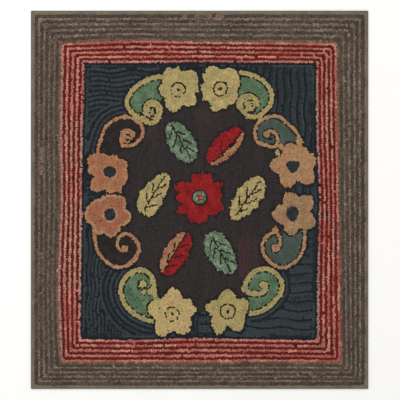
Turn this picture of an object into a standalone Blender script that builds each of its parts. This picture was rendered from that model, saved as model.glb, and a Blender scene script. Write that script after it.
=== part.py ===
"""A hooked wool rug lying flat: one hooked cloth, and the four lengths of tape that bind its edge.

Metres, +Z up. The rug lies on the plane z = 0 with its middle over the origin. +Y is its far (top) end.
"""

import math
from collections import namedtuple
from functools import partial

import bmesh
import bpy

# Overall size of the bound rug
RUG_WIDTH = 0.840
RUG_LENGTH = 0.942

# Heights through the hooked cloth
LOOP_TOP = 0.0080
GROOVE_DEPTH = 0.0014
GROUND_LUMP = 0.0005
LUMP_WAVES = ((41, 17), (-23, 53))   # radians per metre along X and along Y

# One row of loops is as wide as the cut wool strip
ROW_PITCH = 0.0062
TAUPE_ROWS = 10
STRIPED_ROWS = 9
ECHO_ROWS = 8

# The tape folded over the edge
TAPE_THICKNESS = 0.0010
TAPE_FACE_WIDTH = 0.0112
TAPE_BACK_WIDTH = 0.0250
TURNED_CLOTH = 0.0020
CLEARANCE = 0.0003
MITRE_SETBACK = 0.00022
FOLD_STEPS = 6

# How finely the plan is divided
WIDTH_STEPS = 14
LENGTH_STEPS = 16

# Wool of the dark ground, and cotton tape
WOOL_COLOUR = (0.045, 0.048, 0.052)
WOOL_ROUGHNESS = 0.90
TAPE_COLOUR = (0.19, 0.165, 0.135)
TAPE_ROUGHNESS = 0.85

# Heights and rounding that follow from the sizes above
EDGE_BOTTOM = TAPE_THICKNESS + CLEARANCE
EDGE_TOP = EDGE_BOTTOM + TURNED_CLOTH
TAPE_HEIGHT = EDGE_TOP + CLEARANCE + TAPE_THICKNESS
FOLD_RADIUS = TAPE_HEIGHT / 2
LOOPS_START = TAPE_FACE_WIDTH + CLEARANCE

# The hand-drawn border wanders: how far in from the rug's edge, in millimetres, the striped band
# starts and ends, at five even stations along each side, counted from its west or south end.
Stations = namedtuple("Stations", "start quarter middle three_quarters end")
STRIPES_START_MM = {
    "north": Stations(82, 75, 77, 78, 81),
    "south": Stations(67, 67, 66, 68, 66),
    "west": Stations(75, 68, 75, 73, 77),
    "east": Stations(68, 71, 74, 77, 79),
}
STRIPES_END_MM = {
    "north": Stations(130, 131, 129, 130, 131),
    "south": Stations(125, 123, 127, 124, 122),
    "west": Stations(123, 126, 127, 130, 134),
    "east": Stations(128, 127, 122, 129, 129),
}


def along_stations(stations, share):
    """The value at a share of the side, on a smooth line through its five stations."""
    spans = len(stations) - 1
    span = min(int(share * spans), spans - 1)
    part = share * spans - span
    before = stations[max(span - 1, 0)]
    low = stations[span]
    high = stations[span + 1]
    after = stations[min(span + 2, spans)]
    low_slope = (high - before) / 2
    high_slope = (after - low) / 2
    return (
        low * (1 + 2 * part) * (1 - part) ** 2
        + high * part**2 * (3 - 2 * part)
        + low_slope * part * (1 - part) ** 2
        - high_slope * part**2 * (1 - part)
    )


def row_line_inset(rows_in, side, share):
    """How far in from a side the line lies that has this many rows outside it."""
    stripes_start = along_stations(STRIPES_START_MM[side], share) / 1000
    stripes_end = along_stations(STRIPES_END_MM[side], share) / 1000
    if rows_in <= TAUPE_ROWS:
        return LOOPS_START + (stripes_start - LOOPS_START) * rows_in / TAUPE_ROWS
    striped = rows_in - TAUPE_ROWS
    if striped <= STRIPED_ROWS:
        return stripes_start + (stripes_end - stripes_start) * striped / STRIPED_ROWS
    return stripes_end + (striped - STRIPED_ROWS) * ROW_PITCH


def even_inset(inset, side, share):
    """The same inset everywhere, for a line that runs straight along the rug's edge."""
    return inset


def between(low, high, share):
    return low + (high - low) * share


def plan_place(across, along, inset_of):
    """The plan position at these shares of a frame whose sides lie inset_of(side, share) in from the edge."""
    west = -RUG_WIDTH / 2 + inset_of("west", along)
    east = RUG_WIDTH / 2 - inset_of("east", along)
    south = -RUG_LENGTH / 2 + inset_of("south", across)
    north = RUG_LENGTH / 2 - inset_of("north", across)
    return between(west, east, across), between(south, north, along)


def ground_height(x, y):
    """The loops of the ground stand a little unevenly."""
    swell = sum(math.sin(along_x * x + along_y * y) for along_x, along_y in LUMP_WAVES)
    return LOOP_TOP - GROOVE_DEPTH / 2 + GROUND_LUMP * swell / len(LUMP_WAVES)


def rug_rings():
    """(inset of a side, height) of each line around the ground, out over the rows and round to the foot."""
    rings = []
    for rows_in in range(TAUPE_ROWS + STRIPED_ROWS + ECHO_ROWS, 0, -1):
        rings.append((partial(row_line_inset, rows_in), LOOP_TOP - GROOVE_DEPTH))
        rings.append((partial(row_line_inset, rows_in - 0.5), LOOP_TOP))
    cloth_edge = FOLD_RADIUS
    back_step = TAPE_BACK_WIDTH + CLEARANCE
    for inset, height in (
        (LOOPS_START, LOOP_TOP - GROOVE_DEPTH),
        (LOOPS_START, EDGE_TOP),
        (cloth_edge, EDGE_TOP),
        (cloth_edge, EDGE_BOTTOM),
        (back_step, EDGE_BOTTOM),
        (back_step, 0.0),
    ):
        rings.append((partial(even_inset, inset), height))
    return rings


def new_object(name, mesh, colour, roughness, collection):
    material = bpy.data.materials.new(name)
    material.use_nodes = True
    surface = material.node_tree.nodes["Principled BSDF"]
    surface.inputs["Base Color"].default_value = (*colour, 1.0)
    surface.inputs["Roughness"].default_value = roughness
    surface.inputs["Metallic"].default_value = 0.0
    mesh.materials.append(material)
    part = bpy.data.objects.new(name, mesh)
    collection.objects.link(part)
    return part


def hooked_rug(collection):
    """The hooked cloth: a grid for the ground, extruded out row by row and round its edge to the foot."""
    shell = bmesh.new()
    across_layer = shell.verts.layers.float.new("across")
    along_layer = shell.verts.layers.float.new("along")
    half = 0.5
    bmesh.ops.create_grid(shell, x_segments=WIDTH_STEPS, y_segments=LENGTH_STEPS, size=half)
    rings = rug_rings()
    innermost, innermost_height = rings[0]
    for vertex in shell.verts:
        across = vertex.co.x + half
        along = vertex.co.y + half
        vertex[across_layer] = across
        vertex[along_layer] = along
        x, y = plan_place(across, along, innermost)
        height = innermost_height if vertex.is_boundary else ground_height(x, y)
        vertex.co = (x, y, height)
    rim = [edge for edge in shell.edges if edge.is_boundary]
    for inset_of, height in rings[1:]:
        grown = bmesh.ops.extrude_edge_only(shell, edges=rim)["geom"]
        for vertex in (item for item in grown if isinstance(item, bmesh.types.BMVert)):
            x, y = plan_place(vertex[across_layer], vertex[along_layer], inset_of)
            vertex.co = (x, y, height)
        rim = [item for item in grown if isinstance(item, bmesh.types.BMEdge) and item.is_boundary]
    bmesh.ops.contextual_create(shell, geom=rim)
    bmesh.ops.recalc_face_normals(shell, faces=shell.faces)
    mesh = bpy.data.meshes.new("hooked_rug")
    shell.to_mesh(mesh)
    shell.free()
    return new_object("hooked_rug", mesh, WOOL_COLOUR, WOOL_ROUGHNESS, collection)


def fold_arc(radius, start, end):
    """Points of the round fold, as (inset, height), about the middle of the tape's height."""
    points = []
    for step in range(FOLD_STEPS + 1):
        angle = math.radians(between(start, end, step / FOLD_STEPS))
        points.append((FOLD_RADIUS - radius * math.cos(angle), FOLD_RADIUS + radius * math.sin(angle)))
    return points


def tape_section():
    """The outline of the folded tape as (inset from the rug's edge, height)."""
    outside = fold_arc(FOLD_RADIUS, -90, 90)
    inside = fold_arc(FOLD_RADIUS - TAPE_THICKNESS, 90, -90)
    face = [(TAPE_FACE_WIDTH, TAPE_HEIGHT), (TAPE_FACE_WIDTH, TAPE_HEIGHT - TAPE_THICKNESS)]
    back = [(TAPE_BACK_WIDTH, TAPE_THICKNESS), (TAPE_BACK_WIDTH, 0.0)]
    return outside + face + inside + back


def binding(name, side_length, half_depth, turn, collection):
    """One length of tape. It is made along X on the far side, mitred, then turned to its own side."""
    section = bmesh.new()
    half_length = side_length / 2
    outline = [section.verts.new((0.0, half_depth - inset, height)) for inset, height in tape_section()]
    start = section.faces.new(outline)
    grown = bmesh.ops.extrude_face_region(section, geom=[start])["geom"]
    far_end = {item for item in grown if isinstance(item, bmesh.types.BMVert)}
    for vertex in section.verts:
        inset = half_depth - vertex.co.y
        reach = half_length - inset - MITRE_SETBACK
        vertex.co.x = reach if vertex in far_end else -reach
    bmesh.ops.recalc_face_normals(section, faces=section.faces)
    mesh = bpy.data.meshes.new(name)
    section.to_mesh(mesh)
    section.free()
    tape = new_object(name, mesh, TAPE_COLOUR, TAPE_ROUGHNESS, collection)
    tape.rotation_euler.z = turn
    return tape


def main():
    for old in list(bpy.data.objects):
        bpy.data.objects.remove(old)
    collection = bpy.data.collections.new("hooked_rug_parts")
    bpy.context.scene.collection.children.link(collection)
    hooked_rug(collection)
    quarter_turn = math.pi / 2
    half_turn = math.pi
    binding("binding_top", RUG_WIDTH, RUG_LENGTH / 2, 0.0, collection)
    binding("binding_bottom", RUG_WIDTH, RUG_LENGTH / 2, half_turn, collection)
    binding("binding_left", RUG_LENGTH, RUG_WIDTH / 2, quarter_turn, collection)
    binding("binding_right", RUG_LENGTH, RUG_WIDTH / 2, -quarter_turn, collection)


main()
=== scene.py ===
# %% [markdown]
# # A hooked wool rug, seen from straight above
# A hooked rug is made on a plain jute cloth. A strip of wool is held under the cloth, and a hook pulls
# it up through the weave as one loop after another. The loops stand side by side in rows, and the rows
# are the drawing: they run round the border, round each flower and along each scroll.
# This script works as the maker does. It plans the rows in millimetres, pulls each loop in turn where
# the cloth is still free, and only then turns the loops into meshes.

import itertools
import math
import random
from collections import namedtuple
from dataclasses import dataclass

import bmesh
import bpy
import numpy as np
from mathutils import Matrix, Vector, noise


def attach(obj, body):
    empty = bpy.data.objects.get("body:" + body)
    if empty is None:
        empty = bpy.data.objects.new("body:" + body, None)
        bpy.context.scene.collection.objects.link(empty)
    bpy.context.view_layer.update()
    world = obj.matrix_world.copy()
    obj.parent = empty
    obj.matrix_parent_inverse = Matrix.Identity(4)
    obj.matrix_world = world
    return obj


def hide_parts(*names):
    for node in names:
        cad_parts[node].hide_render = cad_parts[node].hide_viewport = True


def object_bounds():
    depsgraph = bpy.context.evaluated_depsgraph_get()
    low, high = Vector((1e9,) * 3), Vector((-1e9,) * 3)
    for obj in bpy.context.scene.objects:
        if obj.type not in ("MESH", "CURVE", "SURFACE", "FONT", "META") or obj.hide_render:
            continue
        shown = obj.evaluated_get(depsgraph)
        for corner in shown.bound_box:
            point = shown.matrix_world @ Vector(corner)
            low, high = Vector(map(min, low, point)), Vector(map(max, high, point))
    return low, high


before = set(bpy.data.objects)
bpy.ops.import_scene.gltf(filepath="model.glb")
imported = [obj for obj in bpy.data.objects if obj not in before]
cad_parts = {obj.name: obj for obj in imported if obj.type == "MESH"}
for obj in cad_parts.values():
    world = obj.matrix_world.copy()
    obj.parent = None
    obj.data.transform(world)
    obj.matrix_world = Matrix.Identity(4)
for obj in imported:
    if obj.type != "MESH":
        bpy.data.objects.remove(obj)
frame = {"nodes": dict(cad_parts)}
cad_low, cad_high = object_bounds()
MM = 0.001
print("nodes:", ", ".join(frame["nodes"]))

# %% [markdown]
# ## The camera
# The photograph looks straight down on the rug. A long lens from almost three metres up keeps the
# sides parallel, and its height makes one pixel 2.486 mm on the tops of the loops.

# %% Camera
PIXEL = 2.486 * MM
FRAME_PIXELS = 400
LENS = 100
SENSOR = 36
LOOP_TOP_MM = 8.0
CAMERA_ASIDE = (1.25 * MM, -0.6 * MM)

camera_data = bpy.data.cameras.new("camera")
camera_data.lens = LENS
camera_data.sensor_width = SENSOR
camera = bpy.data.objects.new("camera", camera_data)
camera.location = (*CAMERA_ASIDE, LOOP_TOP_MM * MM + PIXEL * FRAME_PIXELS * LENS / SENSOR)
bpy.context.scene.collection.objects.link(camera)
bpy.context.scene.camera = camera
print(f"camera {camera.location.z:.3f} m up")

# %% [markdown]
# ## Helpers
# Colours are written as the sRGB hex values that a paint chart gives, and one function turns them to
# the linear values that Blender's shaders expect. One more adds a node, with its settings and what
# feeds it, so that a material reads as a list of its layers. The rest start a material and close a mesh.


# %% Colour and node helpers
def linear(hex_colour, brighten=1.0):
    """An sRGB hex colour as linear red, green, blue and alpha."""
    channels = [int(hex_colour[place : place + 2], 16) / 255 for place in (1, 3, 5)]
    straight = [c / 12.92 if c <= 0.04045 else ((c + 0.055) / 1.055) ** 2.4 for c in channels]
    return (*(min(c * brighten, 1.0) for c in straight), 1.0)


def add_node(tree, kind, feeds=None, **settings):
    """One more node. Each feed is a value for an input, or the output socket that is linked to it."""
    node = tree.nodes.new(kind)
    for name, value in settings.items():
        setattr(node, name, value)
    for key, value in (feeds or {}).items():
        socket = node.inputs[key]
        if isinstance(value, bpy.types.NodeSocket):
            tree.links.new(value, socket)
        else:
            socket.default_value = value
    return node


def new_material(name):
    """A material to fill, with its tree, its shader, and the place on the piece in metres."""
    material = bpy.data.materials.new(name)
    material.use_nodes = True
    tree = material.node_tree
    place = add_node(tree, "ShaderNodeTexCoord").outputs["Object"]
    return material, tree, tree.nodes["Principled BSDF"], place


def closed_mesh(name, shell):
    """The finished shell as a mesh with its faces pointing out."""
    bmesh.ops.recalc_face_normals(shell, faces=shell.faces)
    mesh = bpy.data.meshes.new(name)
    shell.to_mesh(mesh)
    shell.free()
    return mesh


def show(name, mesh):
    """Puts a mesh into the scene as an object at the origin."""
    shown = bpy.data.objects.new(name, mesh)
    bpy.context.scene.collection.objects.link(shown)
    return shown


# %% [markdown]
# ## Floor and light
# The floor is a plain white board, with the faint mottle that matt paint has. One wide lamp stands
# overhead and a little to one side, so that every loop has a lit shoulder and a soft dark edge, and
# pale air all round fills the shadows.


# %% Floor and light
def painted_board():
    """Matt white emulsion on board: no gloss, and a slight unevenness about a hand wide."""
    material, tree, surface, place = new_material("white_painted_board")
    mottle = add_node(tree, "ShaderNodeTexNoise", {"Vector": place, "Scale": 12.0, "Detail": 3.0})
    paint = add_node(tree, "ShaderNodeValToRGB", {"Fac": mottle.outputs["Fac"]})
    paint.color_ramp.elements[0].color = linear("#f7f6f3")
    paint.color_ramp.elements[1].color = linear("#fbfaf8")
    tree.links.new(paint.outputs["Color"], surface.inputs["Base Color"])
    surface.inputs["Roughness"].default_value = 0.9
    return material


FLOOR_SIDE = 8.0
LAMP_SIZE = 1.6
LAMP_PLACE = (-1.5, 1.7, 3.0)
LAMP_WATTS = 55.0
AIR_BRIGHTNESS = 0.78

floor_mesh = bpy.data.meshes.new("floor")
floor_shell = bmesh.new()
bmesh.ops.create_grid(floor_shell, x_segments=8, y_segments=8, size=FLOOR_SIDE / 2)
floor_shell.to_mesh(floor_mesh)
floor_shell.free()
floor_mesh.materials.append(painted_board())
floor = show("floor", floor_mesh)

lamp_data = bpy.data.lights.new("lamp", "AREA")
lamp_data.shape = "DISK"
lamp_data.size = LAMP_SIZE
lamp_data.energy = LAMP_WATTS
lamp = bpy.data.objects.new("lamp", lamp_data)
lamp.location = LAMP_PLACE
lamp.rotation_euler = (-lamp.location).to_track_quat("-Z", "Y").to_euler()
bpy.context.scene.collection.objects.link(lamp)

air = bpy.data.worlds.new("pale_air")
air.use_nodes = True
air.node_tree.nodes["Background"].inputs["Color"].default_value = linear("#ffffff")
air.node_tree.nodes["Background"].inputs["Strength"].default_value = AIR_BRIGHTNESS
bpy.context.scene.world = air
bpy.context.scene.view_settings.view_transform = "Standard"
print("floor, lamp and air are in")

# %% [markdown]
# ## The border's plan
# The CAD model gives the rug's size and how its border wanders, because it was drawn on the cloth by
# hand. The same few stations are repeated here, in millimetres: how far in from each edge the striped
# band starts and ends, at five even places along that side. A row of the border is then the line
# that has a given number of rows outside it.

# %% The border's rows
RUG_WIDTH = (cad_high.x - cad_low.x) / MM
RUG_LENGTH = (cad_high.y - cad_low.y) / MM
ROW_PITCH = 6.2
TAUPE_ROWS = 10
STRIPED_ROWS = 9
LOOPS_START = 11.5
SIDE_STEPS = 130

Stations = namedtuple("Stations", "start quarter middle three_quarters end")
STRIPES_START = {
    "north": Stations(82, 75, 78, 79.5, 82),
    "south": Stations(67, 67, 66, 68, 66),
    "west": Stations(75, 68, 75, 73, 77),
    "east": Stations(68, 71, 74, 77, 79),
}
STRIPES_END = {
    "north": Stations(130, 131, 129, 130, 131),
    "south": Stations(125, 123, 127, 124, 122),
    "west": Stations(123, 126, 127, 130, 134),
    "east": Stations(128, 127, 122, 129, 129),
}


def along_stations(stations, share):
    """The value at a share of the side, on a smooth line through its five stations."""
    spans = len(stations) - 1
    span = min(int(share * spans), spans - 1)
    part = share * spans - span
    low = stations[span]
    high = stations[span + 1]
    low_slope = (high - stations[max(span - 1, 0)]) / 2
    high_slope = (stations[min(span + 2, spans)] - low) / 2
    rise = part**2 * (3 - 2 * part)
    bend = low_slope * part * (1 - part) ** 2 - high_slope * part**2 * (1 - part)
    return low + (high - low) * rise + bend


def row_inset(rows_in, side, share):
    """How far in from a side the line lies that has this many rows outside it."""
    start = along_stations(STRIPES_START[side], share)
    end = along_stations(STRIPES_END[side], share)
    if rows_in <= TAUPE_ROWS:
        return LOOPS_START + (start - LOOPS_START) * rows_in / TAUPE_ROWS
    striped = rows_in - TAUPE_ROWS
    if striped <= STRIPED_ROWS:
        return start + (end - start) * striped / STRIPED_ROWS
    return end + (striped - STRIPED_ROWS) * ROW_PITCH


def border_line(rows_in):
    """One line right round the border, counterclockwise from the corner at the south-west."""
    shares = [step / SIDE_STEPS for step in range(SIDE_STEPS)]
    round_trip = [(share, 0.0) for share in shares]
    round_trip += [(1.0, share) for share in shares]
    round_trip += [(1.0 - share, 1.0) for share in shares]
    round_trip += [(0.0, 1.0 - share) for share in shares]
    line = []
    for across, along in round_trip:
        west = row_inset(rows_in, "west", along) - RUG_WIDTH / 2
        east = RUG_WIDTH / 2 - row_inset(rows_in, "east", along)
        south = row_inset(rows_in, "south", across) - RUG_LENGTH / 2
        north = RUG_LENGTH / 2 - row_inset(rows_in, "north", across)
        line.append((west + (east - west) * across, south + (north - south) * along))
    line = np.array(line)
    return (np.roll(line, 1, axis=0) + 2 * line + np.roll(line, -1, axis=0)) / 4


print(f"rug {RUG_WIDTH:.0f} x {RUG_LENGTH:.0f} mm, {TAUPE_ROWS + STRIPED_ROWS} rows of border")

# %% [markdown]
# ## Lines in the plan
# Everything drawn on the cloth is a line of points in millimetres. One tool spaces points evenly along
# a line, one gives the way the line runs at each point, and one moves the line sideways by the width of
# a row. That one drops the points that would come too near another part of the same line, which keeps
# the rows inside a petal from crossing at its tip. The others make curves, and test what lies inside.


# %% Tools for lines
def even_steps(line, step, closed=False):
    """The line with a point every step millimetres or so."""
    points = np.vstack([line, line[:1]]) if closed else np.asarray(line, float)
    reached = np.concatenate([[0.0], np.cumsum(np.hypot(*np.diff(points, axis=0).T))])
    count = max(int(round(reached[-1] / step)), 1)
    places = np.linspace(0.0, reached[-1], count + (not closed), endpoint=not closed)
    return np.column_stack([np.interp(places, reached, points[:, axis]) for axis in (0, 1)])


def headings(line, closed=False):
    """The unit direction in which the line runs at each of its points."""
    if closed:
        ahead = np.roll(line, -1, axis=0) - np.roll(line, 1, axis=0)
    elif len(line) < 2:
        ahead = np.array([[1.0, 0.0]] * len(line))
    else:
        ahead = np.gradient(line, axis=0)
    return ahead / np.maximum(np.linalg.norm(ahead, axis=1, keepdims=True), 1e-9)


FINE_STEP = 1.5
NEARLY = 0.97


def beside(line, distance, closed=False):
    """The line moved to its left by distance, or to its right if that is negative."""
    fine = even_steps(line, FINE_STEP, closed)
    ahead = headings(fine, closed)
    moved = fine + np.column_stack([-ahead[:, 1], ahead[:, 0]]) * distance
    gaps = np.linalg.norm(moved[:, None] - fine[None], axis=2).min(axis=1)
    return moved[gaps >= abs(distance) * NEARLY]


def circle(x, y, radius, steps=48):
    """A ring of points, counterclockwise."""
    turns = np.linspace(0, 2 * math.pi, steps, endpoint=False)
    return np.column_stack([x + radius * np.cos(turns), y + radius * np.sin(turns)])


def smooth_reach(knots, bearings):
    """The reach at each bearing, on a smooth curve through the given (bearing, reach) knots."""
    at = np.array([bearing for bearing, _ in knots], float)
    reach = np.array([value for _, value in knots], float)
    if at[0] > at[-1]:
        at = -at
        bearings = -bearings
    slope = np.gradient(reach, at)
    span = np.clip(np.searchsorted(at, bearings, side="right") - 1, 0, len(at) - 2)
    width = at[span + 1] - at[span]
    part = (bearings - at[span]) / width
    rise = part**2 * (3 - 2 * part)
    bend = width * (slope[span] * part * (1 - part) ** 2 - slope[span + 1] * part**2 * (1 - part))
    return reach[span] + (reach[span + 1] - reach[span]) * rise + bend


def polar(x, y, bearings, reaches):
    """Points seen from (x, y) at these bearings, in degrees from +X, and reaches."""
    turns = np.radians(bearings)
    return np.column_stack([x + reaches * np.cos(turns), y + reaches * np.sin(turns)])


def encloses(outline, x, y):
    """True where the point lies inside the closed outline."""
    ends = np.roll(outline, -1, axis=0)
    spans = (outline[:, 1] > y) != (ends[:, 1] > y)
    x1, y1 = outline[spans].T
    x2, y2 = ends[spans].T
    return bool(np.count_nonzero(x < x1 + (x2 - x1) * (y - y1) / (y2 - y1)) % 2)


# %% [markdown]
# ## Flowers
# The flowers are the plain, lobed ones of country hooking, each drawn freehand, so no two have the
# same lobes. A flower is its centre, its wool, its eye and a short list of lobes going clockwise: the
# bearing and reach of each tip, and of the notch that follows it. Between the two the edge follows
# one curve, steep at the notch and round at the tip.

# %% Flowers
Lobe = namedtuple("Lobe", "bearing reach notch_bearing notch_reach")
Flower = namedtuple("Flower", "x y wool eye lobes")
ROUNDNESS = 1.3
LOBE_STEPS = 12

FLOWERS = (
    Flower(-52.5, 273, "cream", "ring", (
        Lobe(113, 62, 100, 55), Lobe(89, 59, 78, 46), Lobe(44, 64, 16, 50), Lobe(2, 51, -14, 43),
        Lobe(-41, 56, -74, 38), Lobe(-104, 59, -152, 39), Lobe(-184, 50, -202, 44),
    )),
    Flower(52.5, 276, "cream", "ring", (
        Lobe(120, 65, 87, 47), Lobe(56, 60, -8, 42), Lobe(-43, 51, -63, 44), Lobe(-76, 54, -86, 48),
        Lobe(-106, 60, -134, 41), Lobe(-148, 54, -162, 45), Lobe(-184, 50, -204, 44),
        Lobe(-218, 57, -226, 54),
    )),
    Flower(-67.5, -283.5, "cream", "ring", (
        Lobe(88, 66, 54, 45), Lobe(38, 61, 25, 56), Lobe(8, 61, -11, 46), Lobe(-50, 62, -88, 43),
        Lobe(-122, 66, -160, 44), Lobe(-196, 64, -242, 47),
    )),
    Flower(70.5, -278, "cream", "ring", (
        Lobe(90, 57, 56, 38), Lobe(34, 57, -18, 44), Lobe(-56, 59, -89, 36),
        Lobe(-114, 64, -162, 40), Lobe(-192, 58, -229, 38),
    )),
    Flower(-223, 70, "orange", "hole", (
        Lobe(150, 65, 91, 39), Lobe(70, 44, 54, 40), Lobe(33, 50, -2, 43), Lobe(-34, 50, -50, 46),
        Lobe(-61, 62, -74, 50), Lobe(-91, 55, -108, 48), Lobe(-134, 66, -165, 41),
        Lobe(-181, 57, -191, 54),
    )),
    Flower(-222.5, -36.5, "orange", "hole", (
        Lobe(104, 52, 84, 49), Lobe(52, 57, 22, 41), Lobe(-8, 55, -49, 42), Lobe(-88, 58, -109, 49),
        Lobe(-121, 61, -146, 50), Lobe(-175, 64, -238, 47),
    )),
    Flower(232.5, 83.5, "orange", "hole", (
        Lobe(99, 60, 80, 53), Lobe(58, 58, 45, 54), Lobe(22, 61, -10, 50), Lobe(-40, 66, -73, 36),
        Lobe(-107, 58, -149, 39), Lobe(-182, 59, -225, 40),
    )),
    Flower(231, -34.5, "orange", "hole", (
        Lobe(104, 56, 68, 45), Lobe(40, 66, 7, 45), Lobe(-28, 65, -63, 41), Lobe(-94, 55, -129, 35),
        Lobe(-180, 52, -225, 32),
    )),
    Flower(0.5, 5.5, "crimson", "button", (
        Lobe(108, 61, 98, 58), Lobe(86, 63, 77, 60), Lobe(65, 66, 48, 47), Lobe(31, 70, 20, 52),
        Lobe(6, 58, -9, 50), Lobe(-24, 67, -33, 60), Lobe(-42, 62, -65, 44), Lobe(-75, 64, -83, 60),
        Lobe(-91, 67, -101, 61), Lobe(-112, 67, -127, 47), Lobe(-148, 70, -159, 43),
        Lobe(-176, 60, -193, 51), Lobe(-204, 72, -240, 42),
    )),
)


def flower_outline(flower):
    """The edge of the flower, counterclockwise."""
    line = []
    before = (flower.lobes[-1].notch_bearing + 360, flower.lobes[-1].notch_reach)
    for lobe in flower.lobes:
        after = (lobe.notch_bearing, lobe.notch_reach)
        sides = ((before, range(LOBE_STEPS, 0, -1)), (after, range(LOBE_STEPS)))
        for (notch_bearing, notch_reach), steps in sides:
            for step in steps:
                off_tip = step / LOBE_STEPS
                bearing = lobe.bearing + (notch_bearing - lobe.bearing) * off_tip
                reach = notch_reach + (lobe.reach - notch_reach) * (1 - off_tip**ROUNDNESS)
                line.append((bearing, reach))
        before = after
    bearings, reaches = np.array(line[::-1]).T
    return polar(flower.x, flower.y, bearings, reaches)


print(len(FLOWERS), "flowers,", sum(len(flower.lobes) for flower in FLOWERS), "lobes")

# %% [markdown]
# ## Scrolls
# Beside each outer flower a stem curls back on itself like a fern. Its centre line is a spiral: the
# reach from the middle of the curl at each bearing. Eight such spirals make the wreath. The space
# between the stem and the curl is filled with a second wool.

# %% Scrolls
Scroll = namedtuple("Scroll", "x y wool fill flower knots")

SCROLLS = (
    Scroll(-121, 221, "cream", "scroll_green", 0, (
        (72, 89), (112, 72), (141, 67), (166, 61), (186, 46), (225, 29), (275, 30), (328, 24),
        (384, 24), (437, 23), (495, 17), (573, 8),
    )),
    Scroll(123, 231, "cream", "scroll_green", 1, (
        (106, 88), (86, 80), (59, 73), (34, 66), (5, 52), (-20, 38), (-43, 33), (-77, 26),
        (-145, 17), (-200, 27), (-248, 28), (-299, 26), (-346, 22),
    )),
    Scroll(-141, -222, "cream", "scroll_green", 2, (
        (-73, 84), (-96, 70), (-122, 62), (-152, 56), (-180, 55), (-211, 52), (-243, 50),
        (-276, 45), (-315, 35), (-350, 28), (-375, 31), (-400, 42),
    )),
    Scroll(155, -219.5, "cream", "scroll_green", 3, (
        (-115, 70), (-85, 55), (-45, 46), (-3, 50), (57, 50), (93, 47), (125, 43), (166, 41),
        (191, 38), (221, 23), (297, 11), (413, 12),
    )),
    Scroll(-176, 156.5, "orange", "brown_ground", 4, (
        (207, 87), (186, 70), (153, 61), (124, 54), (87, 48), (54, 44), (31, 40), (16, 37),
        (-15, 28), (-55, 23), (-119, 24), (-180, 19), (-270, 17), (-350, 12),
    )),
    Scroll(-186, -115, "orange", "brown_ground", 5, (
        (146, 93), (165, 77), (190, 68), (218, 60), (247, 57), (279, 48), (316, 40), (356, 35),
        (402, 30), (455, 30), (504, 21), (563, 16), (630, 10),
    )),
    Scroll(170, 156.5, "orange", "grey_green", 6, (
        (-17, 86), (4, 75), (30, 60), (61, 57), (87, 50), (121, 43), (163, 34), (205, 28),
        (245, 22), (275, 23), (304, 30), (330, 27), (370, 22), (411, 18), (441, 14), (500, 8),
    )),
    Scroll(190, -115, "orange", "grey_green", 7, (
        (31, 83), (8, 72), (-20, 66), (-48, 60), (-72, 57), (-99, 45), (-138, 37), (-184, 34),
        (-231, 32), (-274, 32), (-302, 19), (-378, 8),
    )),
)
SCROLL_STEP = 3.0
FILL_TURN = 320


def scroll_line(scroll, turn=None):
    """The middle of the stem from the flower to the end of the curl, or for its first turn degrees."""
    start = scroll.knots[0][0]
    end = scroll.knots[-1][0]
    sweep = end - start
    if turn is not None:
        sweep = math.copysign(min(turn, abs(sweep)), sweep)
    bearings = np.linspace(start, start + sweep, int(abs(sweep) / SCROLL_STEP) + 1)
    return polar(scroll.x, scroll.y, bearings, smooth_reach(scroll.knots, bearings))


def counterclockwise(outline):
    """The closed outline, turned round if it runs clockwise."""
    x, y = outline.T
    area = np.sum(x * np.roll(y, -1) - y * np.roll(x, -1))
    return outline if area > 0 else outline[::-1]


def scroll_fill(scroll):
    """The outline of what the stem wraps round, closed through its flower's centre."""
    flower = FLOWERS[scroll.flower]
    return counterclockwise(np.vstack([scroll_line(scroll, FILL_TURN), [(flower.x, flower.y)]]))


print(len(SCROLLS), "scrolls")

# %% [markdown]
# ## Leaves
# Six blunt leaves lie round the red flower. A leaf is the line from its stalk end to its tip, bowed a
# little to one side, and its greatest width. Its half width follows a sine raised to a power under
# one, which gives a full body and a blunt point. A number called egg bends the sine's length, so that
# the widest place lies nearer the stalk or the tip, and a slow wave gives the edge its small lobes.
# Another number, rib, moves the midrib off the middle by its share of the half width.
# Four leaves are of one wool with dark veins, and two are split along the midrib, red and orange.

# %% Leaves
Leaf = namedtuple("Leaf", "stalk tip width bow egg rib left right veins")

LEAVES = (
    Leaf((-74, 194), (-17, 95), 65, 0, 1.1, 0.0, "leaf_green", "leaf_green", 6),
    Leaf((21, 91), (105, 176), 58, 0, 1.0, -0.3, "crimson", "orange", 3),
    Leaf((-139, -38), (-79, 65), 59, 5, 0.7, 0.0, "cream", "cream", 5),
    Leaf((82, -48), (156, 55), 62, -1, 1.1, 0.0, "cream", "cream", 5),
    Leaf((-90, -186), (-28, -82), 59, 0, 1.0, 0.15, "orange", "crimson", 5),
    Leaf((26, -80), (82, -184), 65, -2, 0.9, 0.0, "leaf_green", "leaf_green", 6),
)
LEAF_STEPS = 40
LEAF_FULLNESS = 0.42
LEAF_WAVE = 0.055
LEAF_WAVES = 4.5


def leaf_points(leaf, off_middle):
    """Points from the stalk to the tip, this share of the half width to the left of the middle."""
    stalk = np.array(leaf.stalk, float)
    ahead = np.array(leaf.tip, float) - stalk
    length = np.hypot(*ahead)
    ahead = ahead / length
    left = np.array([-ahead[1], ahead[0]])
    shares = np.linspace(0, 1, LEAF_STEPS)
    swell = np.abs(np.sin(math.pi * shares**leaf.egg))
    lobed = 1 + LEAF_WAVE * np.sin(2 * math.pi * LEAF_WAVES * shares + leaf.width * off_middle)
    sideways = leaf.bow * swell + off_middle * leaf.width / 2 * swell**LEAF_FULLNESS * lobed
    return stalk + ahead * (shares * length)[:, None] + left * sideways[:, None]


def leaf_outline(leaf):
    """The edge of the leaf, counterclockwise."""
    return counterclockwise(np.vstack([leaf_points(leaf, 1.0), leaf_points(leaf, -1.0)[::-1][1:-1]]))


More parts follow.
